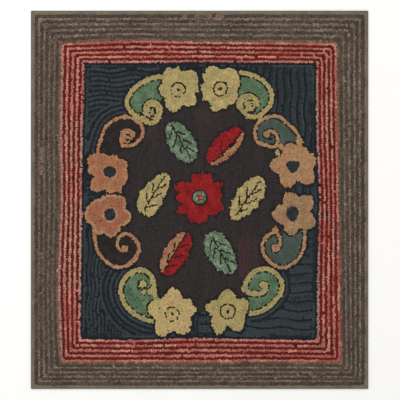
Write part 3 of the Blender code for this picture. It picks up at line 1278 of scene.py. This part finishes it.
PATCHES = (
    Patch("stripe_pink", -352, -293, 74, 199, 0.90),
    Patch("stripe_pink", -352, -293, -225, 0, 0.88),
    Patch("stripe_pink", -356, -341, -400, 400, 0.96),
    Patch("stripe_pink", 309, 332, 99, 261, 0.84),
    Patch("stripe_pink", 0, 64, 386, 398, 0.80),
    Patch("stripe_pink", 286, 299, -62, 300, 0.98),
    Patch("stripe_pink", 286, 299, -340, -104, 0.98),
    Patch("stripe_red", -352, -293, 43, 52, 0.02),
    Patch("stripe_red", 306, 318, -56, -35, 0.02),
    Patch("stripe_red", 332, 345, -155, -60, 0.20),
    Patch("stripe_red", 332, 345, -350, -156, 0.85),
    Patch("stripe_red", 256, 300, 379, 390, 0.95),
    Patch("light_taupe", -412, -350, -380, 400, 0.15),
    Patch("dark_taupe", -40, 64, 446, 457, 0.90),
    Patch("dark_taupe", -403, -392, 62, 124, 0.92),
    Patch("brown_ground", 96, 124, -190, -98, 0.84),
    Patch("brown_ground", 124, 146, -170, -98, 0.72),
    Patch("brown_ground", -131, -103, 150, 181, 0.70),
    Patch("brown_ground", -12, 26, 190, 225, 0.70),
)

for patch in PATCHES:
    changed = 0
    for loop in loops:
        edge = hand.uniform(-PATCH_EDGE, PATCH_EDGE)
        if loop.wool != patch.wool:
            continue
        if patch.west < loop.x < patch.east and patch.south + edge < loop.y < patch.north + edge:
            loop.dye = min(max(patch.dye + hand.gauss(0, DYE_DRIFT), 0.0), 1.0)
            changed += 1
    print(patch.wool, changed, "loops redyed")

# %% [markdown]
# ## Wool
# The strips are cut from woven, felted coating wool: quite matt, with a soft fuzz that catches light
# at grazing angles and a surface of short crossed fibres. Each loop carries its dye as a number that
# picks a shade from the wool's ramp, and a tone that makes it a little lighter or darker. Down between
# the loops the colour is painted darker, a painted shade for the shadow deep in the pile.

# %% Wool material
BRIGHTEN = 1.08
FIBRE_MM = 0.9
FLECK_MM = 3.5
# Painted shade in the pile: fully dark below the first height, none above the second.
PAINTED_SHADE_FULL_MM = 3.0
PAINTED_SHADE_ENDS_MM = 6.4
PILE_PAINTED_SHADE_TO = 0.50
SNUG_PAINTED_SHADE_TO = 0.72
SNUG_FLECK_MM = 5.5
SNUG_BRIGHTEN = 1.04


def wool(name, shades):
    """Dyed, felted wool strip. The eye gets a matt, slightly hairy surface with flecks in its colour."""
    snug = name.removesuffix("_wool") in MOTIF_WOOLS
    material, tree, surface, place = new_material(name)
    dye = add_node(tree, "ShaderNodeAttribute", attribute_name="dye")
    tone = add_node(tree, "ShaderNodeAttribute", attribute_name="tone")
    colour = add_node(tree, "ShaderNodeValToRGB", {"Fac": dye.outputs["Fac"]})
    ramp = colour.color_ramp
    while len(ramp.elements) < len(shades):
        ramp.elements.new(0.5)
    for element, (stop, hex_colour) in zip(ramp.elements, shades):
        element.position = stop
        element.color = linear(hex_colour, SNUG_BRIGHTEN if snug else BRIGHTEN)
    fleck = add_node(tree, "ShaderNodeTexNoise", {
        "Vector": place, "Scale": 1 / ((SNUG_FLECK_MM if snug else FLECK_MM) * MM), "Detail": 4.0,
        "Roughness": 0.7,
    })
    height = add_node(tree, "ShaderNodeSeparateXYZ", {"Vector": place}).outputs["Z"]
    # Painted shade: the colour darkens from the top of the pile down towards the cloth, for the shadow
    # between loops.
    depth = add_node(tree, "ShaderNodeMapRange", {
        "Value": height, "From Min": PAINTED_SHADE_FULL_MM * MM, "From Max": PAINTED_SHADE_ENDS_MM * MM,
        "To Min": SNUG_PAINTED_SHADE_TO if snug else PILE_PAINTED_SHADE_TO, "To Max": 1.0,
    }, interpolation_type="SMOOTHSTEP")
    flecked = add_node(tree, "ShaderNodeMapRange", {
        "Value": fleck.outputs["Fac"], "From Min": 0.25, "From Max": 0.75, "To Min": 0.80, "To Max": 1.20,
    })
    light = add_node(tree, "ShaderNodeMath", {0: tone.outputs["Fac"], 1: depth.outputs["Result"]},
                     operation="MULTIPLY")
    light = add_node(tree, "ShaderNodeMath", {0: light.outputs[0], 1: flecked.outputs["Result"]},
                     operation="MULTIPLY")
    shaded = add_node(tree, "ShaderNodeVectorMath", {0: colour.outputs["Color"]}, operation="SCALE")
    tree.links.new(light.outputs[0], shaded.inputs["Scale"])
    tree.links.new(shaded.outputs["Vector"], surface.inputs["Base Color"])
    fibre = add_node(tree, "ShaderNodeTexNoise", {
        "Vector": place, "Scale": 1 / (FIBRE_MM * MM), "Detail": 3.0,
    })
    relief = add_node(tree, "ShaderNodeBump", {
        "Height": fibre.outputs["Fac"], "Strength": 0.6, "Distance": 0.5 * MM,
    })
    tree.links.new(relief.outputs["Normal"], surface.inputs["Normal"])
    surface.inputs["Roughness"].default_value = 0.95
    surface.inputs["Sheen Weight"].default_value = 0.04
    surface.inputs["Sheen Roughness"].default_value = 0.6
    surface.inputs["Specular IOR Level"].default_value = 0.08
    return material


WOOLS = {
    "dark_taupe": ((0, "#3b322a"), (0.4, "#4a3e34"), (0.65, "#57473b"), (0.85, "#685547"), (1, "#7d5f52")),
    "light_taupe": ((0, "#5f5348"), (0.5, "#6d6055"), (1, "#796c61")),
    "stripe_pink": ((0, "#8f453b"), (0.35, "#a16056"), (0.7, "#b67b6b"), (0.82, "#ad7d68"), (1, "#906b62")),
    "stripe_red": ((0, "#1b1313"), (0.2, "#4a2228"), (0.45, "#501913"), (0.75, "#601912"), (1, "#771e18")),
    "slate_ground": ((0, "#171b22"), (0.35, "#24292d"), (0.7, "#343b3d"), (1, "#303b38")),
    "brown_ground": ((0, "#231f1e"), (0.5, "#312c2b"), (0.8, "#3a2d2d"), (1, "#4a262a")),
    "cream": ((0, "#847d60"), (0.3, "#9d8d5b"), (0.6, "#a49363"), (0.8, "#b39e67"), (1, "#ac8c68")),
    "orange": ((0, "#945944"), (0.3, "#956248"), (0.6, "#9e7050"), (0.8, "#a3805c"), (1, "#886a4f")),
    "crimson": ((0, "#75171a"), (0.5, "#861c1e"), (1, "#932124")),
    "leaf_green": ((0, "#475c48"), (0.5, "#62745b"), (1, "#818f79")),
    "scroll_green": ((0, "#465b44"), (0.5, "#556d51"), (1, "#6b7f66")),
    "grey_green": ((0, "#39443d"), (0.6, "#465149"), (1, "#6b7a66")),
    "dark_line": ((0, "#1a1712"), (1, "#2a281f")),
}
wools = {name: wool(name + "_wool", shades) for name, shades in WOOLS.items()}
print(len(wools), "wools")

# %% [markdown]
# ## One loop and its back stitch
# Seen close, a loop is a low cushion: both ends of the strip come up through one hole of the weave,
# and the wool swells to a shoulder and closes to a small flat top. Thirteen points draw it. Under the
# cloth the same strip runs flat to the next loop, which is a flattened bead of six points. Both are
# drawn one unit long and wide, so that the plan's numbers can scale them.


# %% Forms of the loop and the stitch
def ring_points(half_across, half_along, height, chamfer=0.0):
    """A rectangle of points, or an octagon where it has a chamfer, counterclockwise."""
    if not chamfer:
        corners = ((1, -1), (1, 1), (-1, 1), (-1, -1))
        return [(a * half_across, b * half_along, height) for a, b in corners]
    near = 1 - chamfer
    corners = (
        (1, -near), (1, near), (near, 1), (-near, 1), (-1, near), (-1, -near), (-near, -1), (near, -1),
    )
    return [(a * half_across, b * half_along, height) for a, b in corners]


def loop_form():
    """A closed cushion: the hole it springs from, an eight-sided shoulder and a top."""
    shell = bmesh.new()
    foot = shell.verts.new((0.0, 0.0, 0.0))
    shoulder = [shell.verts.new(point) for point in ring_points(0.50, 0.50, 0.78, chamfer=0.30)]
    top = [shell.verts.new(point) for point in ring_points(0.33, 0.31, 1.0)]
    for corner in range(8):
        shell.faces.new([shoulder[corner], shoulder[(corner + 1) % 8], foot])
    for corner in range(4):
        after = (corner + 1) % 4
        shell.faces.new([top[corner], top[after], shoulder[(2 * corner + 1) % 8], shoulder[2 * corner]])
        shell.faces.new([top[after], shoulder[(2 * corner + 2) % 8], shoulder[(2 * corner + 1) % 8]])
    shell.faces.new(top)
    mesh = closed_mesh("loop_form", shell)
    mesh.shade_smooth()
    return show("loop_form", mesh)


CLOTH_TOP_MM = 2.25
STITCH_LOW_MM = 0.15
STITCH_HIGH_MM = 1.30


def stitch_form():
    """A flattened bead under the cloth, half a loop further on. Its heights are real ones."""
    shell = bmesh.new()
    low = (STITCH_LOW_MM - CLOTH_TOP_MM) * MM
    high = (STITCH_HIGH_MM - CLOTH_TOP_MM) * MM
    middle = (low + high) / 2
    under = shell.verts.new((0.0, 0.5, low))
    over = shell.verts.new((0.0, 0.5, high))
    ends = ((0.40, 0.5), (0.0, 1.06), (-0.40, 0.5), (0.0, -0.06))
    waist = [shell.verts.new((across, along, middle)) for across, along in ends]
    for corner in range(4):
        after = (corner + 1) % 4
        shell.faces.new([waist[corner], waist[after], over])
        shell.faces.new([waist[after], waist[corner], under])
    mesh = closed_mesh("stitch_form", shell)
    mesh.shade_smooth()
    return show("stitch_form", mesh)


one_loop = loop_form()
one_stitch = stitch_form()
print("loop:", len(one_loop.data.vertices), "points, stitch:", len(one_stitch.data.vertices))

# %% [markdown]
# ## From plan to pile
# Geometry Nodes set one loop and one stitch on every point of the plan. Each point carries its
# heading, width, length and height. The tree scales the loop by them, leans it a little at random as
# no hand pulls every loop upright, joins the copies into one real mesh and gives it its wool.


# %% The tree that sets the loops
def named(tree, attribute):
    """The value that each point of the plan carries under this name."""
    node = add_node(tree, "GeometryNodeInputNamedAttribute", {"Name": attribute}, data_type="FLOAT")
    return node.outputs["Attribute"]


def pile_tree():
    tree = bpy.data.node_groups.new("set_loops", "GeometryNodeTree")
    sockets = (
        ("Geometry", "INPUT", "NodeSocketGeometry"),
        ("Loop", "INPUT", "NodeSocketObject"),
        ("Stitch", "INPUT", "NodeSocketObject"),
        ("Wool", "INPUT", "NodeSocketMaterial"),
        ("Lean", "INPUT", "NodeSocketFloat"),
        ("Unevenness", "INPUT", "NodeSocketFloat"),
        ("Seed", "INPUT", "NodeSocketInt"),
        ("Geometry", "OUTPUT", "NodeSocketGeometry"),
    )
    for name, way, kind in sockets:
        tree.interface.new_socket(name, in_out=way, socket_type=kind)
    given = add_node(tree, "NodeGroupInput").outputs
    lean_back = add_node(tree, "ShaderNodeMath", {0: given["Lean"], 1: -1.0}, operation="MULTIPLY")
    lowest = add_node(tree, "ShaderNodeMath", {0: 1.0, 1: given["Unevenness"]}, operation="SUBTRACT")
    leans = []
    for further in (0, 1):
        seed = add_node(tree, "ShaderNodeMath", {0: given["Seed"], 1: float(further)}, operation="ADD")
        lean = add_node(tree, "FunctionNodeRandomValue", {
            2: lean_back.outputs[0], 3: given["Lean"], "Seed": seed.outputs[0],
        }, data_type="FLOAT")
        leans.append(lean.outputs[1])
    grow = add_node(tree, "FunctionNodeRandomValue", {
        2: lowest.outputs[0], 3: 1.0, "Seed": given["Seed"],
    }, data_type="FLOAT")
    rise = add_node(tree, "ShaderNodeMath", {0: named(tree, "height"), 1: grow.outputs[1]},
                    operation="MULTIPLY")
    loop_size = add_node(tree, "ShaderNodeCombineXYZ", {
        "X": named(tree, "width"), "Y": named(tree, "length"), "Z": rise.outputs[0],
    })
    stitch_size = add_node(tree, "ShaderNodeCombineXYZ", {
        "X": named(tree, "width"), "Y": named(tree, "length"), "Z": 1.0,
    })
    leaning = add_node(tree, "ShaderNodeCombineXYZ", {
        "X": leans[0], "Y": leans[1], "Z": named(tree, "heading"),
    })
    upright = add_node(tree, "ShaderNodeCombineXYZ", {"Z": named(tree, "heading")})
    joined = add_node(tree, "GeometryNodeJoinGeometry")
    for form, size, turn in (("Stitch", stitch_size, upright), ("Loop", loop_size, leaning)):
        shape = add_node(tree, "GeometryNodeObjectInfo", {"Object": given[form]})
        rotation = add_node(tree, "FunctionNodeEulerToRotation", {"Euler": turn.outputs["Vector"]})
        copies = add_node(tree, "GeometryNodeInstanceOnPoints", {
            "Points": given["Geometry"], "Instance": shape.outputs["Geometry"],
            "Rotation": rotation.outputs["Rotation"], "Scale": size.outputs["Vector"],
        })
        tree.links.new(copies.outputs["Instances"], joined.inputs["Geometry"])
    real = add_node(tree, "GeometryNodeRealizeInstances", {"Geometry": joined.outputs["Geometry"]})
    finished = add_node(tree, "GeometryNodeSetMaterial", {
        "Geometry": real.outputs["Geometry"], "Material": given["Wool"],
    })
    add_node(tree, "NodeGroupOutput", {"Geometry": finished.outputs["Geometry"]})
    return tree


def give(modifier, **values):
    """Sets a Geometry Nodes modifier's named inputs, by the identifier of each socket."""
    for socket in modifier.node_group.interface.items_tree:
        if socket.in_out == "INPUT" and socket.name in values:
            modifier[socket.identifier] = values[socket.name]


def made_plain(planned):
    """The object with its modifiers' result as an ordinary mesh, and without the modifiers."""
    depsgraph = bpy.context.evaluated_depsgraph_get()
    mesh = bpy.data.meshes.new_from_object(planned.evaluated_get(depsgraph))
    planned.modifiers.clear()
    planned.data = mesh
    mesh.name = planned.name
    return planned


# %% Set the loops
LOOP_HEIGHT_MM = 5.55
LEAN = 0.12
UNEVENNESS = 0.12
TONE_SPREAD = 0.06
TONE_SPREADS = {
    "dark_taupe": 0.18, "light_taupe": 0.26, "stripe_pink": 0.22, "stripe_red": 0.18, "slate_ground": 0.10,
    "cream": 0.09, "orange": 0.09,
}


def plan_mesh(name, chosen, tone_spread):
    """A mesh of points alone, one for each loop, with what the tree needs to know about it."""
    mesh = bpy.data.meshes.new(name)
    mesh.vertices.add(len(chosen))
    places = []
    values = {"heading": [], "width": [], "length": [], "height": [], "dye": [], "tone": []}
    for loop in chosen:
        ahead = (math.cos(loop.heading), math.sin(loop.heading))
        aside = (loop.left - loop.right) / 2
        along = (loop.front - loop.back) / 2
        x = loop.x + ahead[0] * along - ahead[1] * aside
        y = loop.y + ahead[1] * along + ahead[0] * aside
        places += [x * MM, y * MM, CLOTH_TOP_MM * MM]
        values["heading"].append(loop.heading - math.pi / 2)
        values["width"].append((loop.left + loop.right) * MM)
        values["length"].append((loop.front + loop.back) * MM)
        values["height"].append(LOOP_HEIGHT_MM * MM)
        values["dye"].append(loop.dye)
        values["tone"].append(1.0 + hand.uniform(-tone_spread, tone_spread))
    mesh.vertices.foreach_set("co", places)
    for key, numbers in values.items():
        mesh.attributes.new(key, "FLOAT", "POINT").data.foreach_set("value", numbers)
    return mesh


set_loops = pile_tree()
for number, name in enumerate(WOOLS):
    chosen = [loop for loop in loops if loop.wool == name]
    spread = TONE_SPREADS.get(name, TONE_SPREAD)
    piece = show("pile_" + name, plan_mesh("pile_" + name, chosen, spread))
    modifier = piece.modifiers.new("set_loops", "NODES")
    modifier.node_group = set_loops
    give(modifier, Loop=one_loop, Stitch=one_stitch, Wool=wools[name], Lean=LEAN,
         Unevenness=UNEVENNESS, Seed=number)
    made_plain(piece)
    for extra in ("heading", "width", "length", "height"):
        if extra in piece.data.attributes:
            piece.data.attributes.remove(piece.data.attributes[extra])
    piece.data.calc_loop_triangles()
    print(f"{piece.name}: {len(chosen)} loops, {len(piece.data.loop_triangles)} triangles")
    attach(piece, "root")
for form in (one_loop, one_stitch):
    bpy.data.objects.remove(form)

# %% [markdown]
# ## The foundation cloth
# The loops stand in jute hessian, a coarse plain weave. Only its edge and the small spaces between
# loops ever show, and its back between the stitches. Its raw edge is turned over once, so it is double
# under the binding.

# %% Hessian material
JUTE_THREAD_MM = 1.8


def hessian():
    """Plain woven jute, unbleached: a dull tan grid of round threads. Its face is painted dark, for dust and
    as shade between loops.
    """
    material, tree, surface, place = new_material("jute_hessian")
    heights = []
    for direction in ("X", "Y"):
        # A sine band repeats every 2 pi / 20 units of its scaled length
        threads = add_node(tree, "ShaderNodeTexWave", {
            "Vector": place, "Scale": 2 * math.pi / 20 / (JUTE_THREAD_MM * MM), "Distortion": 1.2,
            "Detail": 2.0, "Detail Scale": 0.4,
        }, bands_direction=direction)
        heights.append(threads.outputs["Fac"])
    weave = add_node(tree, "ShaderNodeMath", {0: heights[0], 1: heights[1]}, operation="MULTIPLY")
    shade = add_node(tree, "ShaderNodeValToRGB", {"Fac": weave.outputs[0]})
    shade.color_ramp.elements[0].color = linear("#3b3128")
    shade.color_ramp.elements[1].color = linear("#8f7a5c")
    # Dust and painted shade: faces that point up, seen only down between the loops, are coloured dark brown;
    # the back and edges keep the weave's tan.
    side = add_node(tree, "ShaderNodeSeparateXYZ", {
        "Vector": add_node(tree, "ShaderNodeNewGeometry").outputs["True Normal"],
    })
    dust_and_painted_shade = add_node(tree, "ShaderNodeMix", {
        0: side.outputs["Z"], 6: shade.outputs["Color"], 7: linear("#332b25"),
    }, data_type="RGBA")
    tree.links.new(dust_and_painted_shade.outputs[2], surface.inputs["Base Color"])
    relief = add_node(tree, "ShaderNodeBump", {
        "Height": weave.outputs[0], "Strength": 0.8, "Distance": 0.4 * MM,
    })
    tree.links.new(relief.outputs["Normal"], surface.inputs["Normal"])
    surface.inputs["Roughness"].default_value = 0.95
    surface.inputs["Specular IOR Level"].default_value = 0.15
    return material


# %% Foundation cloth
CLOTH_LOW_MM = 1.35
HEM_INSET_MM = 2.4
HEM_WIDTH_MM = 8.6
HEM_HIGH_MM = 3.2
HEM_SLOPE_MM = 0.3
HEM_ROUND_MM = 0.5
CLOTH_STEP_MM = 28.0
CLOTH_SAG_MM = 0.12


def cloth_ring(inset, height):
    """Points round the cloth, this far in from the rug's edge, with one for each step of its sides."""
    half_x = RUG_WIDTH / 2 - inset
    half_y = RUG_LENGTH / 2 - inset
    across = int(RUG_WIDTH / CLOTH_STEP_MM)
    along = int(RUG_LENGTH / CLOTH_STEP_MM)
    trip = [(2 * step / across - 1, -1) for step in range(across)]
    trip += [(1, 2 * step / along - 1) for step in range(along)]
    trip += [(1 - 2 * step / across, 1) for step in range(across)]
    trip += [(-1, 1 - 2 * step / along) for step in range(along)]
    return [(half_x * a * MM, half_y * b * MM, height * MM) for a, b in trip]


def foundation_cloth():
    """One closed sheet. Its section is flat, with the turned hem standing double at the edge."""
    shell = bmesh.new()
    across = int(RUG_WIDTH / CLOTH_STEP_MM)
    along = int(RUG_LENGTH / CLOTH_STEP_MM)
    inner = HEM_INSET_MM + HEM_WIDTH_MM
    section = (
        (inner + HEM_SLOPE_MM, CLOTH_TOP_MM),
        (inner, HEM_HIGH_MM),
        (HEM_INSET_MM + HEM_ROUND_MM, HEM_HIGH_MM),
        (HEM_INSET_MM, (HEM_HIGH_MM + CLOTH_LOW_MM) / 2),
        (HEM_INSET_MM + HEM_ROUND_MM, CLOTH_LOW_MM),
        (inner + HEM_SLOPE_MM, CLOTH_LOW_MM),
    )
    rings = [[shell.verts.new(point) for point in cloth_ring(*place)] for place in section]
    for outer, after in zip(rings, rings[1:]):
        for corner in range(len(outer)):
            follows = (corner + 1) % len(outer)
            shell.faces.new([outer[corner], outer[follows], after[follows], after[corner]])
    for ring, height in ((rings[0], CLOTH_TOP_MM), (rings[-1], CLOTH_LOW_MM)):
        grid = {}
        half_x = RUG_WIDTH / 2 - inner - HEM_SLOPE_MM
        half_y = RUG_LENGTH / 2 - inner - HEM_SLOPE_MM
        for column in range(across + 1):
            for line in range(along + 1):
                if column in (0, across) or line in (0, along):
                    continue
                x = half_x * (2 * column / across - 1)
                y = half_y * (2 * line / along - 1)
                sag = CLOTH_SAG_MM * math.sin(x / 37) * math.sin(y / 43)
                grid[column, line] = shell.verts.new((x * MM, y * MM, (height + sag) * MM))
        for step in range(across):
            grid[step, 0] = ring[step]
            grid[across - step, along] = ring[across + along + step]
        for step in range(along):
            grid[across, step] = ring[across + step]
            grid[0, along - step] = ring[2 * across + along + step]
        for column in range(across):
            for line in range(along):
                shell.faces.new([
                    grid[column, line], grid[column + 1, line],
                    grid[column + 1, line + 1], grid[column, line + 1],
                ])
    mesh = closed_mesh("foundation_cloth", shell)
    mesh.materials.append(hessian())
    return show("foundation_cloth", mesh)


foundation = foundation_cloth()
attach(foundation, "root")
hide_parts("hooked_rug")

# %% [markdown]
# ## The binding
# A cotton twill tape is folded over the raw edge and sewn down: 11 mm of it shows on the face and
# 25 mm lies on the back. Each side has its own length, mitred at the corners. It is swept along its
# side as a bent strip, with the small waves of a hand-sewn edge.

# %% Twill tape material
TWILL_MM = 0.9
TAPE_BRIGHTEN = 1.16
TAPE_SHADES = ((0.30, "#585048"), (0.45, "#655b4f"), (0.60, "#706456"), (0.72, "#70594e"))


def twill_tape():
    """Cotton twill tape, long in use: a fine slanted rib, with painted shade along its outer fold and its
    back a little darker.
    """
    material, tree, surface, place = new_material("cotton_twill_tape")
    stain = add_node(tree, "ShaderNodeTexNoise", {"Vector": place, "Scale": 22.0, "Detail": 4.0})
    base = add_node(tree, "ShaderNodeValToRGB", {"Fac": stain.outputs["Fac"]})
    while len(base.color_ramp.elements) < len(TAPE_SHADES):
        base.color_ramp.elements.new(0.5)
    for element, (stop, hex_colour) in zip(base.color_ramp.elements, TAPE_SHADES):
        element.position = stop
        element.color = linear(hex_colour, TAPE_BRIGHTEN)
    # Painted shade: the fold attribute darkens the tape towards its rounded outer fold, and a little on the
    # back.
    fold_shade = add_node(tree, "ShaderNodeAttribute", attribute_name="fold")
    fold_painted_shade = add_node(tree, "ShaderNodeMix", {
        0: fold_shade.outputs["Fac"], 6: base.outputs["Color"], 7: linear("#55514a"),
    }, data_type="RGBA")
    tree.links.new(fold_painted_shade.outputs[2], surface.inputs["Base Color"])
    slant = add_node(tree, "ShaderNodeMapping", {"Vector": place, "Rotation": (0.0, 0.0, math.radians(45))})
    rib = add_node(tree, "ShaderNodeTexWave", {
        "Vector": slant.outputs["Vector"], "Scale": 2 * math.pi / 20 / (TWILL_MM * MM), "Distortion": 0.6,
    })
    relief = add_node(tree, "ShaderNodeBump", {
        "Height": rib.outputs["Fac"], "Strength": 0.5, "Distance": 0.15 * MM,
    })
    tree.links.new(relief.outputs["Normal"], surface.inputs["Normal"])
    surface.inputs["Roughness"].default_value = 0.88
    surface.inputs["Specular IOR Level"].default_value = 0.25
    return material


# %% Binding tapes
TAPE_THICKNESS_MM = 1.0
TAPE_FACE_MM = 11.2
TAPE_BACK_MM = 25.0
TAPE_HEIGHT_MM = 4.6
FOLD_RADIUS_MM = TAPE_HEIGHT_MM / 2
MITRE_SETBACK_MM = 0.22
FOLD_STEPS = 8
TAPE_STEP_MM = 9.0
WAVE_MM = 0.45
PUCKER_MM = 0.12
# How far in from the outer fold the painted shade reaches, and how much the back is darkened.
FOLD_SHADE_REACH_MM = 3.2
BACK_DARKENING = 0.2


def fold_arc(radius, start, end):
    """Points of the round fold, as (inset, height), about the middle of the tape's height."""
    points = []
    for step in range(FOLD_STEPS + 1):
        turn = math.radians(start + (end - start) * step / FOLD_STEPS)
        points.append((FOLD_RADIUS_MM - radius * math.cos(turn), FOLD_RADIUS_MM + radius * math.sin(turn)))
    return points


def tape_section():
    """The outline of the folded tape as (inset from the rug's edge, height)."""
    outside = fold_arc(FOLD_RADIUS_MM, -90, 90)
    inside = fold_arc(FOLD_RADIUS_MM - TAPE_THICKNESS_MM, 90, -90)
    under_face = TAPE_HEIGHT_MM - TAPE_THICKNESS_MM
    middle = (FOLD_RADIUS_MM + TAPE_FACE_MM) / 2
    face = [
        (middle, TAPE_HEIGHT_MM), (TAPE_FACE_MM - 0.4, TAPE_HEIGHT_MM), (TAPE_FACE_MM, TAPE_HEIGHT_MM - 0.4),
        (TAPE_FACE_MM, under_face), (middle, under_face),
    ]
    back = [(TAPE_BACK_MM, TAPE_THICKNESS_MM), (TAPE_BACK_MM, 0.0)]
    return outside + face + inside + back


def hand_wave(place, phase):
    """A slow, uneven wave, from -1 to 1, along an edge sewn by hand."""
    return 0.6 * math.sin(place / 23 + phase) + 0.4 * math.sin(place / 9.5 + 2 * phase)


def binding(name, side_length, half_depth, turn, finish):
    """One length of tape. It is made along X on the far side, mitred, then turned to its own side."""
    section = tape_section()
    steps = int(side_length / TAPE_STEP_MM)
    shell = bmesh.new()
    folds = []
    rings = []
    for step in range(steps + 1):
        along = 2 * step / steps - 1
        ring = []
        for inset, height in section:
            reach = side_length / 2 - inset - MITRE_SETBACK_MM
            x = reach * along
            onto_face = height > FOLD_RADIUS_MM and inset > FOLD_RADIUS_MM
            away_from_mitre = min(1.0, 6 * (1 - abs(along)))
            sway = hand_wave(x, turn) * away_from_mitre
            moved_in = inset + (WAVE_MM * sway * inset / TAPE_FACE_MM if onto_face else 0.0)
            raised = height - (PUCKER_MM * (1 + hand_wave(x * 2.3, turn + 1)) / 2 if onto_face else 0.0)
            ring.append(shell.verts.new((x * MM, (half_depth - moved_in) * MM, raised * MM)))
            # The fold value: painted shade growing towards the outer fold, and a fixed darkening on the back.
            folds.append(max(0.0, 1.0 - inset / FOLD_SHADE_REACH_MM) if height > 0.5 else BACK_DARKENING)
        rings.append(ring)
    for ring, after in zip(rings, rings[1:]):
        for corner in range(len(section)):
            follows = (corner + 1) % len(section)
            shell.faces.new([ring[corner], ring[follows], after[follows], after[corner]])
    shell.faces.new(rings[0])
    shell.faces.new(rings[-1])
    bmesh.ops.rotate(shell, verts=shell.verts, matrix=Matrix.Rotation(turn, 3, "Z"))
    mesh = closed_mesh(name, shell)
    mesh.attributes.new("fold", "FLOAT", "POINT").data.foreach_set("value", folds)
    mesh.materials.append(finish)
    for face in mesh.polygons:
        face.use_smooth = len(face.vertices) == 4
    mesh.set_sharp_from_angle(angle=math.radians(50))
    return show(name, mesh)


SIDES = (
    ("top", RUG_WIDTH, RUG_LENGTH, 0.0),
    ("bottom", RUG_WIDTH, RUG_LENGTH, math.pi),
    ("left", RUG_LENGTH, RUG_WIDTH, math.pi / 2),
    ("right", RUG_LENGTH, RUG_WIDTH, -math.pi / 2),
)
twill = twill_tape()
for side, length, depth, turn in SIDES:
    tape = binding("tape_" + side, length, depth / 2, turn, twill)
    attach(tape, "root")
    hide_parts("binding_" + side)
